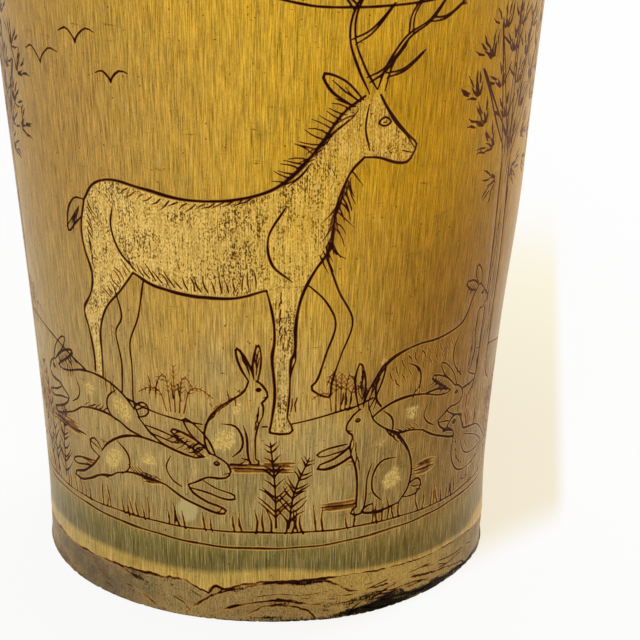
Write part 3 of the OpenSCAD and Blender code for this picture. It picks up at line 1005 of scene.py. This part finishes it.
def hand_made(u, v):
    """How far a hand-turned side strays from true: a few long waves that close round the cup."""
    turn = u / drawing_r
    return sum(size * np.cos(count * turn + climb * v + start) for count, climb, start, size in waves)


proud = hand_made(*flat.T) * ramp(flat[:, 1], 1, 6) * ramp(cup_h - 1.2 - flat[:, 1], 0, 5)
proud -= groove_share * groove
fluting = 0.02 * foot * ramp(flat[:, 1], 0.8, 1.6)
for count, climb in ((194, 2), (65, -3.1)):
    fluting = fluting * np.cos(count * flat[:, 0] / drawing_r + climb * flat[:, 1])
proud += fluting
engraved = on_wall(*flat.T, proud)
engraved[:, :2] *= 1 + (swell - set_back)[:, None] / 1000 / np.hypot(*engraved[:, :2].T)[:, None]

arc = np.linspace(0, np.pi, 13)
lip_r = outer_r(lip_z) - lip_wall / 2
mid_z, groove_r = recess_h + disc_t / 2, bore_r(recess_h + disc_t / 2) + groove_depth
bevel_rise = (disc_t - disc_rim_t) / 2 * bevel_run / (bevel_run + groove_depth)
bore_z = np.linspace(lip_z, recess_h + disc_t - bevel_rise, 20)[1:]
section = np.vstack([
    np.stack([lip_r + lip_wall / 2 * np.cos(arc), lip_z + (lip_wall / 2 - skin_gap) * np.sin(arc)], 1),
    np.stack([bore_r(bore_z), bore_z], 1),
    [(groove_r, mid_z + disc_rim_t / 2), (groove_r, mid_z - disc_rim_t / 2)],
    [(bore_r(recess_h + bevel_rise), recess_h + bevel_rise)],
    [(bore_r(z), z) for z in (4.5, 2.8, 1.2, foot_chamfer)],
    [(bore_r(0) + foot_chamfer, 0), (bore_r(0) + 1.3, 0)],
])
turn = round_u[:-1] / drawing_r - np.pi / 2
edge_ring = np.flatnonzero(flat[:, 1] < lowest_v + 1e-4)
edge_ring = edge_ring[np.argsort(flat[edge_ring, 0])]
edge_z = np.interp(round_u[:-1], flat[edge_ring, 0], engraved[edge_ring, 2] * 1000)
edge_r = np.interp(round_u[:-1], flat[edge_ring, 0], np.hypot(*engraved[edge_ring, :2].T) * 1000)
turned_r = np.vstack([section[:, :1] + 0 * turn, edge_r])
turned_z = np.vstack([section[:, 1:] + 0 * turn, edge_z])
turned = np.stack([turned_r * np.cos(turn), turned_r * np.sin(turn), turned_z], -1) / 1000
print("the turned part has", len(turned), "rings")

# %% A mesh from arrays
import bmesh


def make_piece(name, points, faces, uv=None, sharp=35, **marks):
    """Fills a mesh with points in metres and faces. Each mark becomes an attribute of that name with
    a value for each point. Doubles are merged, which closes seams and poles, normals are turned
    outwards, and edges that bend by more than sharp degrees are kept crisp."""
    mesh = bpy.data.meshes.new(name)
    mesh.from_pydata(points.tolist(), [], faces)
    for mark, values in marks.items():
        made = mesh.attributes.new(mark, "FLOAT", "POINT")
        made.data.foreach_set("value", np.asarray(values, np.float32))
    if uv is not None:
        corner = np.zeros(len(mesh.loops), np.int32)
        mesh.loops.foreach_get("vertex_index", corner)
        mesh.uv_layers.new(name="OFBake").data.foreach_set("uv", uv[corner].astype(np.float32).ravel())
    work = bmesh.new()
    work.from_mesh(mesh)
    bmesh.ops.remove_doubles(work, verts=work.verts, dist=3e-6)
    bmesh.ops.recalc_face_normals(work, faces=work.faces)
    loose_edges = sum(not e.is_manifold for e in work.edges)
    work.to_mesh(mesh)
    work.free()
    mesh.shade_smooth()
    mesh.set_sharp_from_angle(angle=np.radians(sharp))
    piece = bpy.data.objects.new(name, mesh)
    bpy.context.scene.collection.objects.link(piece)
    print(name, "has", len(mesh.polygons), "faces and", loose_edges, "open edges")
    return piece


def ring_faces(rows, across, first=0):
    """Faces between rings of points, each ring closed on itself: the last face of a row joins back to
    the row's first point. across is how many points a ring has, and first is the first ring's first."""
    i, j = np.meshgrid(np.arange(rows - 1), np.arange(across), indexing="ij")
    k = (j + 1) % across
    corners = [i * across + j, i * across + k, (i + 1) * across + k, (i + 1) * across + j]
    return (first + np.stack(corners, -1).reshape(-1, 4)).tolist()


# %% The engraved wall
count, rings = len(flat), len(turned)
wall_points = np.vstack([engraved, turned.reshape(-1, 3)])
along = np.linspace(0, 0.2, rings)
flat_u = 0.01 + 0.98 * (flat[:, 0] / half_round + 1) / 2
flat_v = 0.22 + 0.77 * (flat[:, 1] - lowest_v) / (lip_z - lowest_v)
uv = np.vstack([
    np.stack([flat_u, flat_v], 1),
    np.stack(np.meshgrid(0.01 + 0.98 * np.arange(columns) / columns, 0.205 - along), -1).reshape(-1, 2),
])
lip_rings, foot_rings = 8, 6  # the turned rings that belong to the lip and to the foot
ring_bore = np.repeat((np.arange(rings) > lip_rings) * 1.0, columns)
none = np.zeros(rings * columns)
foot_ring = np.repeat((np.arange(rings) >= rings - foot_rings) * 1.0, columns)
far_up, all_bare, far_under = 60, 1, -9  # the marks of the turned part, which isn't on the drawing
wall = make_piece(
    "engraved_wall", wall_points, triangles.tolist() + ring_faces(rings, columns, count), uv,
    stain=np.r_[stain, none], coat=np.r_[coat, none], worn=np.r_[worn, none], foot=np.r_[foot, foot_ring],
    dark=np.r_[dark, none], band=np.r_[band, none + far_up], bore=np.r_[0 * stain, ring_bore],
    grime=np.r_[grime, none], peel=np.r_[peel, none + all_bare], pale=np.r_[pale, none],
    above=np.r_[above, none + far_under],
)
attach(wall, "root")
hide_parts("horn_wall")

# %% [markdown]
# The bottom is a flat disc sawn across another piece of horn. Its bevelled rim sits in the groove,
# and its top is scraped hollow with a few passes of a curved scraper, which leaves soft ridges. It
# is a round grid: a section from the middle of the top, round the rim, to the middle underneath.

# %% The bottom disc
mid_r = bore_r(recess_h + disc_t / 2)
disc_r, bevel_r = mid_r + groove_depth, mid_r - bevel_run
disc_top = recess_h + disc_t
seal_w, seal_h, disc_dish = 2.6, 3.0, 0.5
dish_r = bevel_r - seal_w
rise = (disc_t - disc_rim_t) / 2
dish_rings, under_rings, rim_gap = 26, 24, 0.05


def disc_surface(columns=160):
    """Rings of points: over the dish, a parabola of depth disc_dish, down the two bevels and back
    under to the middle. Straight scraper ridges cross the top and saw marks cross the bottom."""
    top_r = np.r_[np.linspace(0, dish_r, dish_rings), bevel_r]
    top_z = disc_top - disc_dish * (1 - np.minimum(top_r / dish_r, 1) ** 2)
    under_r = np.linspace(bevel_r, 0, under_rings)
    r = np.r_[top_r, disc_r - rim_gap, disc_r - rim_gap, under_r][:, None]
    z = np.r_[top_z, disc_top - rise, recess_h + rise, np.full(under_rings, recess_h)][:, None]
    turn = np.linspace(0, 2 * np.pi, columns, endpoint=False)[None, :]
    x, y = r * np.cos(turn), r * np.sin(turn)
    on_top = (np.arange(len(r)) < dish_rings)[:, None] * ramp(dish_r - r, 0, 3)
    below = (np.arange(len(r)) > dish_rings + 3)[:, None] * ramp(bevel_r - r, 0, 2)
    scraped = -0.05 + 0.05 * np.abs(np.cos(0.42 * x + 0.1 * y + 0.6 * np.cos(0.2 * y)))
    scraped = scraped + 0.02 * np.cos(0.9 * y - 0.5 * x)
    sawn = 0.025 + 0.02 * np.cos(3.1 * (0.94 * x + 0.34 * y) + 0.8 * np.cos(0.15 * y))
    z = z + on_top * scraped + below * sawn
    return np.stack([x, y, z + 0 * x], -1) / 1000


disc_points = disc_surface()
disc = make_piece("scraped_disc", disc_points.reshape(-1, 3), ring_faces(*disc_points.shape[:2]), sharp=30)
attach(disc, "root")
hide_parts("base_disc")

# %% [markdown]
# Pitch is poured hot into the corner over the disc while the cup is turned round, so its edge is
# uneven: it creeps up the wall in tongues and runs in over the disc in lobes. One hollow section is
# carried round the axis, and both its reaches change a little as it goes.

# %% The poured pitch
sunk_in_wall, sunk_in_disc = 0.05, 0.02  # so that its thin edges don't hang in the air


def pitch_surface(columns=240, arc_steps=12):
    """Each ring joins the same point of the section all round the cup. The face is a quarter of a
    superellipse from the wall to the disc. The back lies against the wall and the disc's bevel."""
    turn = np.linspace(0, 2 * np.pi, columns, endpoint=False)[None, :]
    sway = 0.05 * np.cos(3 * turn + 1) + 0.04 * np.cos(7 * turn + 2.1) + 0.035 * np.cos(12 * turn + 0.4)
    wide = seal_w * (0.9 + sway) - 0.1 * np.abs(np.cos(9 * turn + 0.8)) ** 3
    tall = seal_h * (0.88 + 0.8 * sway[:, ::-1]) + 0.12 * np.abs(np.cos(6 * turn)) ** 5
    level = 0 * turn
    t = np.linspace(0, np.pi / 2, arc_steps)[:, None]
    top_z = disc_top + tall
    wall_r = bore_r(top_z) + sunk_in_wall
    face_r = wall_r - wide * (1 - np.cos(t) ** 0.9)
    face_z = top_z - tall * np.sin(t) ** 0.9
    face_z = np.maximum(face_z, disc_top - sunk_in_disc)
    back_r = np.vstack([wall_r - wide, *(bore_r(disc_top) + run + level for run in (-0.4, 0.02))])
    back_z = np.vstack([disc_top - drop + level for drop in (0.06, 0.26, 0.3)])
    r = np.vstack([face_r, back_r, face_r[:1]])
    z = np.vstack([face_z + level, back_z, face_z[:1] + level])
    return np.stack([r * np.cos(turn), r * np.sin(turn), z], -1) / 1000


pitch_points = pitch_surface()
pitch = make_piece("poured_pitch", pitch_points.reshape(-1, 3), ring_faces(*pitch_points.shape[:2]),
                   sharp=50)
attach(pitch, "root")
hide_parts("pitch_seal")

# %% [markdown]
# Every finish is made of nodes. These helpers keep the recipes short. Each adds its node to the tree
# that is in hand. Colours are written as they look on a screen, from 0 to 255, and turned into the
# linear values that a shader works with.

# %% Helpers for nodes
def seen(r, g, b):
    """A colour as it looks on a screen, as linear values: each share to the power 2.2, near enough."""
    return (*(np.array((r, g, b)) / 255.0) ** 2.2, 1.0)


def put(kind, sockets=(), **settings):
    """Adds a node and sets it up. A socket that is given an output is linked to it, and a socket that
    is given a plain value has that value set on it."""
    made = tree.nodes.new("ShaderNode" + kind)
    for name, value in settings.items():
        setattr(made, name, value)
    for name, value in dict(sockets).items():
        if isinstance(value, bpy.types.NodeSocket):
            tree.links.new(value, made.inputs[name])
        else:
            made.inputs[name].default_value = value
    return made


def maths(how):
    """A helper for one kind of arithmetic on two values."""
    return lambda a, b: put("Math", {0: a, 1: b}, operation=how).outputs[0]


plus, minus, times, over, larger = map(maths, ("ADD", "SUBTRACT", "MULTIPLY", "DIVIDE", "MAXIMUM"))


def noise(vector, scale, detail=2.0, roughness=0.6):
    """Random values about 0.5 that change softly from place to place, faster with a larger scale."""
    sockets = {"Vector": vector, "Scale": scale, "Detail": detail, "Roughness": roughness}
    return put("TexNoise", sockets).outputs["Fac"]


def swing(value, size):
    """A noise moved to lie about nought, and made larger or smaller."""
    return times(minus(value, 0.5), size)


def mix(share, a, b, how="MIX"):
    """Colour b laid over colour a in the given share."""
    return put("Mix", {0: share, 6: a, 7: b}, data_type="RGBA", blend_type=how).outputs[2]


def between(value, low, high, from_value=0.0, to_value=1.0):
    """A value stretched so that low gives the first result and high the second, with soft ends."""
    sockets = {"Value": value, "From Min": low, "From Max": high, "To Min": from_value, "To Max": to_value}
    return put("MapRange", sockets, interpolation_type="SMOOTHSTEP").outputs[0]


def lay(under, value, low, high, share, colour):
    """Lays a colour over another: none where the value is at low, and the given share at high."""
    return mix(between(value, low, high, 0.0, share), under, colour)


def mark(name):
    """A mark on the mesh, which holds a value for each point."""
    return put("Attribute", attribute_name=name).outputs["Fac"]


def stops(value, *colours):
    """A band of colours: each is (where it sits from 0 to 1, the colour as it is seen)."""
    made = put("ValToRGB", {"Fac": value})
    while len(made.color_ramp.elements) < len(colours):
        made.color_ramp.elements.new(0.5)
    for element, (position, colour) in zip(made.color_ramp.elements, colours):
        element.position, element.color = position, seen(*colour)
    return made.outputs["Color"]


def new_material(name, piece):
    """Puts a new material on a piece and gives its node tree and its shader."""
    material = bpy.data.materials.new(name)
    material.use_nodes = True
    piece.data.materials.append(material)
    return material.node_tree, material.node_tree.nodes["Principled BSDF"]


print("a pale horn colour is", [round(float(x), 3) for x in seen(190, 144, 36)])

# %% [markdown]
# Horn grows as fine tubes packed side by side, so its grain runs one way and shows as streaks. The
# wall and the disc both show it, so it is a node group. Its third axis lies along the tubes: noise
# that is drawn out along that axis turns from spots into streaks.

# %% The grain of horn
tree = grain = bpy.data.node_groups.new("horn_grain", "ShaderNodeTree")
for way, kind, names in (
    ("INPUT", "NodeSocketVector", ("Place",)),
    ("INPUT", "NodeSocketFloat", ("Streaks", "Stretch")),
    ("OUTPUT", "NodeSocketFloat", ("Fine", "Broad", "Clouds", "Specks")),
):
    for name in names:
        grain.interface.new_socket(name, in_out=way, socket_type=kind)
come, go = grain.nodes.new("NodeGroupInput"), grain.nodes.new("NodeGroupOutput")
streak, stretch = come.outputs["Streaks"], come.outputs["Stretch"]
millimetres = put("VectorMath", {0: come.outputs["Place"], "Scale": 1000.0}, operation="SCALE").outputs[0]
axes = put("SeparateXYZ", {0: millimetres}).outputs


def squeezed(share):
    """The place with its third axis divided by some share of the stretch."""
    return put("CombineXYZ", {0: axes[0], 1: axes[1], 2: over(axes[2], times(stretch, share))}).outputs[0]


for name, value in (
    ("Fine", noise(squeezed(1.0), streak, 3.0, 0.65)),
    ("Broad", noise(squeezed(0.5), times(streak, 0.2), 3.0, 0.55)),
    ("Clouds", noise(squeezed(0.045), 0.075, 4.0, 0.5)),
    ("Specks", between(noise(squeezed(0.033), 2.6, 1.0, 0.4), 0.72, 0.78)),
):
    grain.links.new(value, go.inputs[name])


def grain_at(vector, streak, stretch):
    """The grain placed in a material: its fine and broad streaks, its clouds and its specks."""
    inputs = {"Place": vector, "Streaks": streak, "Stretch": stretch}
    return put("Group", inputs, node_tree=grain).outputs[:4]


print("grain gives", [s.name for s in grain.interface.items_tree if s.in_out == "OUTPUT"])

# %% [markdown]
# The wall's colours are laid on in the order in which they came about. First the horn, with painted
# light and shade: golden where light comes through it, greener and duller low down where the disc and
# the pitch stand behind it, lighter on some sides and darker on others. Then the scraped coat of the
# two stags, the worn spots, the bare layers of the foot, the stain in the cuts, near black in the
# bottom and rusty where it thins out, with a painted highlight beside them, and last the blackening
# at the foot.

# %% The engraved horn
tree, shader = new_material("engraved_horn", wall)
place = put("TexCoord").outputs["Object"]
xyz = put("SeparateXYZ", {0: place}).outputs
level_place = put("CombineXYZ", {0: xyz[0], 1: xyz[1]}).outputs[0]
heading = put("VectorMath", {0: level_place}, operation="NORMALIZE").outputs[0]
round_place = put("VectorMath", {0: heading, "Scale": drawing_r / 1000}, operation="SCALE").outputs[0]
round_xy = put("SeparateXYZ", {0: round_place}).outputs
along_wall = put("CombineXYZ", {0: round_xy[0], 1: round_xy[1], 2: xyz[2]}).outputs[0]
upright_place = put("Mapping", {"Vector": along_wall, "Scale": (1, 1, 0.6)}).outputs[0]
fine, broad, cloud, speck = grain_at(along_wall, 8.6, 32.0)
stipple = noise(upright_place, 4600.0)
height = times(xyz[2], 1000 / cup_h)
# Painted light and shade: golden high up, where light comes through the horn, and duller and darker low
# down, where the disc and the pitch stand behind it.
skin = stops(
    plus(height, swing(cloud, 0.4)),
    (0.0, (142, 118, 62)), (0.13, (152, 129, 76)), (0.24, (174, 146, 87)), (0.36, (192, 152, 69)),
    (0.55, (204, 158, 46)), (1.0, (208, 160, 48)),
)


def side_of(x, y, z, size, share, colour, under):
    """One side of the cup in another colour: full at a place on the wall, none at size away from it."""
    away = put("VectorMath", {0: place, 1: (x, y, z)}, operation="DISTANCE").outputs["Value"]
    return lay(under, away, size, 0.2 * size, share, seen(*colour))


# Painted light and shade: the left of the cup duller and darker, the right a deeper amber high up and dark
# brown lower down, as the light falls on it.
for side in (
    (-0.034, -0.018, 0.070, 0.050, 0.85, (170, 132, 72)),
    (-0.032, -0.018, 0.032, 0.036, 0.7, (172, 142, 88)),
    (0.031, -0.024, 0.072, 0.042, 0.85, (182, 128, 4)),
    (0.033, -0.014, 0.022, 0.036, 0.85, (124, 86, 14)),
    (0.029, -0.023, 0.044, 0.030, 0.85, (142, 94, 6)),
):
    skin = side_of(*side, skin)

bands_fade, bands_end = 12.0, 14.6  # the bands turn into plain horn between these two heights
# Painted shade and light low on the wall: dark olive bands where the disc and the pitch stand behind the
# horn, and a brighter amber strip below them.
band_place = plus(mark("band"), swing(broad, 0.5))
shade_and_glow_bands = stops(
    over(band_place, 16.0),
    (0.0, (150, 122, 60)), (0.38, (192, 158, 76)), (0.46, (189, 156, 78)), (0.515, (120, 105, 56)),
    (0.56, (116, 102, 56)), (0.66, (120, 105, 54)), (0.78, (136, 117, 64)), (0.9, (150, 125, 68)),
)
# Painted light and shade: the bands are darker and redder on the right, paler and greyer on the left.
shade_and_glow_bands = mix(between(xyz[0], 0.004, 0.026), shade_and_glow_bands, (0.96, 0.8, 0.52, 1), "MULTIPLY")
shade_and_glow_bands = mix(between(xyz[0], -0.018, -0.032), shade_and_glow_bands, (1.04, 1.09, 1.38, 1), "MULTIPLY")
skin = mix(between(band_place, bands_fade, bands_end), shade_and_glow_bands, skin)
# Painted light: a golden glow just above the ledge, where the edge of the skin catches the light.
skin = lay(skin, mark("above"), 1.1, 0.3, 0.5, seen(210, 168, 84))
ripple = plus(plus(times(fine, 3.0), times(broad, 0.5)), times(stipple, 0.6))
skin = put("VectorMath", {0: skin, "Scale": minus(ripple, 1.095)}, operation="SCALE").outputs[0]
skin = lay(skin, fine, 0.54, 0.64, between(height, 0.5, 0.1, 0.05, 0.5), seen(204, 174, 114))
skin = lay(skin, mark("grime"), 0.06, 0.5, 0.6, seen(108, 62, 14))
skin = mix(times(speck, 0.85), skin, seen(78, 42, 8))
print("the bare skin has", len(tree.nodes), "nodes")

# %% The coat and the worn spots
patchy, regions = noise(along_wall, 520.0, 3.0), noise(along_wall, 130.0)
coat_share, worn_share = mark("coat"), mark("worn")
grit = plus(stipple, swing(fine, 0.6))
# Painted light: on the lit left side the coat is paler and its pale specks are thicker.
lit = between(xyz[0], 0.0, -0.024)
coat_skin = mix(between(lit, 0.0, 1.0, 0.16, 0.46), skin, seen(234, 190, 90))
coat_skin = lay(coat_skin, grit, 0.49, 0.62, between(lit, 0.0, 1.0, 0.34, 0.66), seen(253, 220, 138))
density = between(plus(times(patchy, 0.4), times(regions, 0.6)), 0.42, 0.6, -0.05, 0.1)
coat_skin = lay(coat_skin, minus(grit, density), 0.42, 0.32, 0.9, seen(70, 34, 0))
skin = mix(coat_share, skin, coat_skin)
rubbed = between(plus(worn_share, swing(stipple, 0.45)), 0.36, 0.46, 0.0, 0.78)
skin = lay(skin, worn_share, 0.2, 0.42, 0.3, seen(200, 166, 96))
skin = mix(rubbed, skin, mix(between(stipple, 0.4, 0.6), seen(180, 142, 66), seen(226, 194, 116)))
skin = lay(skin, mark("pale"), 0.36, 0.54, 0.7, seen(190, 174, 118))
print("with the coat it has", len(tree.nodes), "nodes")

# %% The foot and the bore
level_layers = put("Mapping", {"Vector": along_wall, "Scale": (0.3, 0.3, 2.2)}).outputs[0]
flaky = noise(level_layers, 900.0, 3.0)
foot_share = mark("foot")
bare = mix(between(fine, 0.38, 0.62), seen(100, 80, 41), seen(187, 156, 93))
bare = lay(bare, flaky, 0.4, 0.64, 0.4, seen(118, 90, 54))
# The first two darken the bare foot on the left and at its right-hand edge: painted shade.
for side in (
    (-0.028, -0.020, 0.0, 0.027, 0.85, (98, 88, 73)),
    (0.036, -0.006, 0.002, 0.021, 0.8, (104, 84, 54)),
    (0.018, -0.032, 0.004, 0.022, 0.42, (216, 174, 80)),
    (-0.011, -0.036, 0.004, 0.016, 0.2, (190, 168, 104)),
):
    bare = side_of(*side, bare)
bare = lay(bare, regions, 0.42, 0.62, 0.35, seen(166, 133, 78))
bare = lay(bare, mark("peel"), 1.2, 3.2, 0.5, seen(140, 110, 72))
bare = lay(bare, patchy, 0.4, 0.62, 0.2, seen(190, 154, 94))
bare = lay(bare, grit, 0.54, 0.66, 0.6, seen(66, 44, 20))
skin = mix(foot_share, skin, bare)
skin = mix(times(mark("bore"), 0.8), skin, mix(broad, seen(112, 82, 36), seen(158, 122, 58)))
blackened = plus(plus(mark("dark"), swing(patchy, 0.9)), swing(flaky, 2.0))
blackened = between(plus(blackened, minus(stipple, 0.5)), 0.32, 0.88, 0.0, 0.97)
print("with the foot it has", len(tree.nodes), "nodes")

# %% The stain, the gloss and the relief
taken = between(noise(along_wall, 240.0), 0.36, 0.6, minus(0.82, times(foot_share, 0.5)), 1.06)
stained = plus(times(mark("stain"), taken), swing(stipple, 0.26))
# Painted highlight: a pale lip beside each cut, where the side of the groove catches the light, stronger low
# on the wall and faint on the foot.
lip = between(stained, 0.06, 0.22, 0.0, between(height, 0.55, 0.15, 0.3, 0.65))
lip = times(lip, between(foot_share, 0.0, 1.0, 1.0, 0.35))
skin = mix(lip, skin, seen(222, 180, 94))
skin = lay(skin, stained, 0.2, 0.46, 0.92, seen(116, 62, 6))
# Painted light: near the right-hand edge of the cup the stain is a lighter brown, as the lines look there in
# glancing light.
ink = side_of(0.039, -0.010, 0.064, 0.046, 0.85, (92, 46, 6), seen(32, 5, 0))
skin = lay(skin, stained, 0.48, 0.68, 0.98, ink)
skin = mix(blackened, skin, seen(10, 7, 4))
tree.links.new(skin, shader.inputs["Base Color"])

gloss = between(broad, 0.3, 0.7, 0.38, 0.52)
gloss = plus(plus(gloss, times(foot_share, 0.25)), times(rubbed, 0.15))
gloss = plus(plus(gloss, between(stained, 0.3, 0.6, 0.0, 0.4)), times(blackened, 0.35))
tree.links.new(gloss, shader.inputs["Roughness"])
shader.inputs["Specular IOR Level"].default_value = 0.05
shader.inputs["Sheen Weight"].default_value = 0.4
shader.inputs["Sheen Roughness"].default_value = 0.35
shader.inputs["Sheen Tint"].default_value = (1.0, 0.84, 0.64, 1)
rough = times(stipple, plus(times(coat_share, 0.8), foot_share))
relief = minus(plus(times(fine, 0.6), rough), speck)
bump = put("Bump", {"Height": relief, "Strength": 0.35, "Distance": 0.00006})
tree.links.new(bump.outputs[0], shader.inputs["Normal"])
print("the engraved horn has", len(tree.nodes), "nodes")

# %% [markdown]
# The disc is the same horn cut the other way, so its grain runs across it. It was never polished,
# and drink has darkened it. Pitch is nearly black, glossy where it set smooth and dull with dust.

# %% The disc and the pitch
tree, shader = new_material("scraped_horn", disc)
xyz = put("SeparateXYZ", {0: put("TexCoord").outputs["Object"]}).outputs
lying = put("CombineXYZ", {0: xyz[2], 1: xyz[1], 2: xyz[0]}).outputs[0]
fine, broad, cloud, speck = grain_at(lying, 2.2, 26.0)
colour = mix(broad, seen(110, 80, 40), seen(172, 134, 74))
colour = lay(colour, fine, 0.4, 0.65, 0.5, seen(186, 152, 92))
colour = lay(colour, cloud, 0.45, 0.65, 0.6, seen(80, 56, 30))
colour = mix(speck, colour, seen(60, 40, 22))
tree.links.new(colour, shader.inputs["Base Color"])
tree.links.new(between(fine, 0.3, 0.7, 0.5, 0.7), shader.inputs["Roughness"])
bump = put("Bump", {"Height": fine, "Strength": 0.4, "Distance": 0.00008})
tree.links.new(bump.outputs[0], shader.inputs["Normal"])

tree, shader = new_material("poured_pitch", pitch)
place = put("TexCoord").outputs["Object"]
lumps, dust = noise(place, 700.0, 3.0, 0.5), noise(place, 2400.0, 2.0, 0.5)
colour = mix(lumps, seen(30, 20, 14), seen(66, 44, 28))
colour = lay(colour, dust, 0.55, 0.75, 0.5, seen(128, 108, 84))
tree.links.new(colour, shader.inputs["Base Color"])
tree.links.new(between(dust, 0.4, 0.7, 0.25, 0.6), shader.inputs["Roughness"])
bump = put("Bump", {"Height": lumps, "Strength": 0.5, "Distance": 0.0004})
tree.links.new(bump.outputs[0], shader.inputs["Normal"])
print("materials:", [m.name for m in bpy.data.materials])

# %% [markdown]
# The studio is a white sheet under soft light. The world gives white from all round, as a light
# tent does. A large lamp above the camera and a smaller one at the back right shape the cup. To the
# camera the sheet is mostly plain white, and the rest of it is a pale matt surface that still takes
# the cup's shadow. Beside and behind the cup the sheet has a painted warm shadow, which stands for
# light that comes through the horn.

# %% The floor
bpy.context.scene.view_settings.view_transform = "Standard"
sheet_r, sheet_sides = 2.5, 96
turn = np.linspace(0, 2 * np.pi, sheet_sides, endpoint=False)
corners = np.stack([sheet_r * np.cos(turn), sheet_r * np.sin(turn), 0 * turn], 1)
floor = bpy.data.objects.new("floor", bpy.data.meshes.new("floor"))
floor.data.from_pydata(corners.tolist(), [], [list(range(sheet_sides))])
bpy.context.scene.collection.objects.link(floor)


def seen_directly():
    """1 for rays that show the background itself: to the camera, in a mirror or through glass."""
    rays = put("LightPath").outputs
    return larger(rays["Is Camera Ray"], larger(rays["Is Glossy Ray"], rays["Is Transmission Ray"]))


tree, shader = new_material("white_sheet", floor)
place = put("TexCoord").outputs["Object"]
axes = put("SeparateXYZ", {0: place}).outputs
away = put("VectorMath", {0: place}, operation="LENGTH").outputs["Value"]
# Painted shadow: a warm, darker patch on the sheet to the right of the cup and behind it, in its colour and
# in its glow to the camera.
painted_warm_shadow = times(between(minus(axes[1], axes[0]), -0.051, -0.036), between(away, 0.205, 0.13))
painted_warm_shadow = times(painted_warm_shadow, between(axes[0], 0.0, 0.03))
painted_warm_shadow = times(painted_warm_shadow, between(minus(axes[0], times(axes[1], 0.13)), 0.0492, 0.046))
paper = mix(noise(place, 900.0, 2.0, 0.5), (0.90, 0.90, 0.89, 1), (0.93, 0.93, 0.92, 1))
tree.links.new(mix(painted_warm_shadow, paper, (0.90, 0.82, 0.62, 1)), shader.inputs["Base Color"])
shader.inputs["Roughness"].default_value = 0.9
shader.inputs["Specular IOR Level"].default_value = 0.1
# The painted shadow is deeper and warmer near the cup.
painted_shadow_tint = mix(between(away, 0.05, 0.15), (0.91, 0.83, 0.66, 1), (0.985, 0.93, 0.75, 1))
glow = put("Emission", {"Color": mix(painted_warm_shadow, (1, 1, 1, 1), painted_shadow_tint), "Strength": 1.0})
both = put("MixShader", {0: times(seen_directly(), 0.87), 1: shader.outputs[0], 2: glow.outputs[0]})
tree.links.new(both.outputs[0], tree.nodes["Material Output"].inputs["Surface"])
print("the sheet is", 2 * sheet_r, "m across")

# %% The light
world = bpy.data.worlds.new("light_tent")
bpy.context.scene.world = world
world.use_nodes = True
tree = world.node_tree
background = tree.nodes["Background"]
way = put("SeparateXYZ", {0: put("TexCoord").outputs["Generated"]}).outputs
beside = between(way[0], -0.8, 0.8, 0.5, 0.3)
tent = put("Mix", {0: between(way[1], 0.0, 0.9), 2: beside, 3: 1.0}).outputs[0]
tree.links.new(larger(tent, seen_directly()), background.inputs["Strength"])
background.inputs["Color"].default_value = (1, 1, 1, 1)


def lamp(name, place, size, watts):
    """A square lamp that faces the cup's middle."""
    light = bpy.data.lights.new(name, "AREA")
    light.size, light.energy = size, watts
    shade = bpy.data.objects.new(name, light)
    bpy.context.scene.collection.objects.link(shade)
    aim = Vector((0, 0, 0.05)) - Vector(place)
    shade.matrix_world = Matrix.Translation(place) @ aim.to_track_quat("-Z", "Y").to_matrix().to_4x4()


lamp("window", (-0.1, -0.75, 0.6), 0.5, 3.7)
lamp("back", (0.5, 0.4, 0.5), 0.4, 2.4)
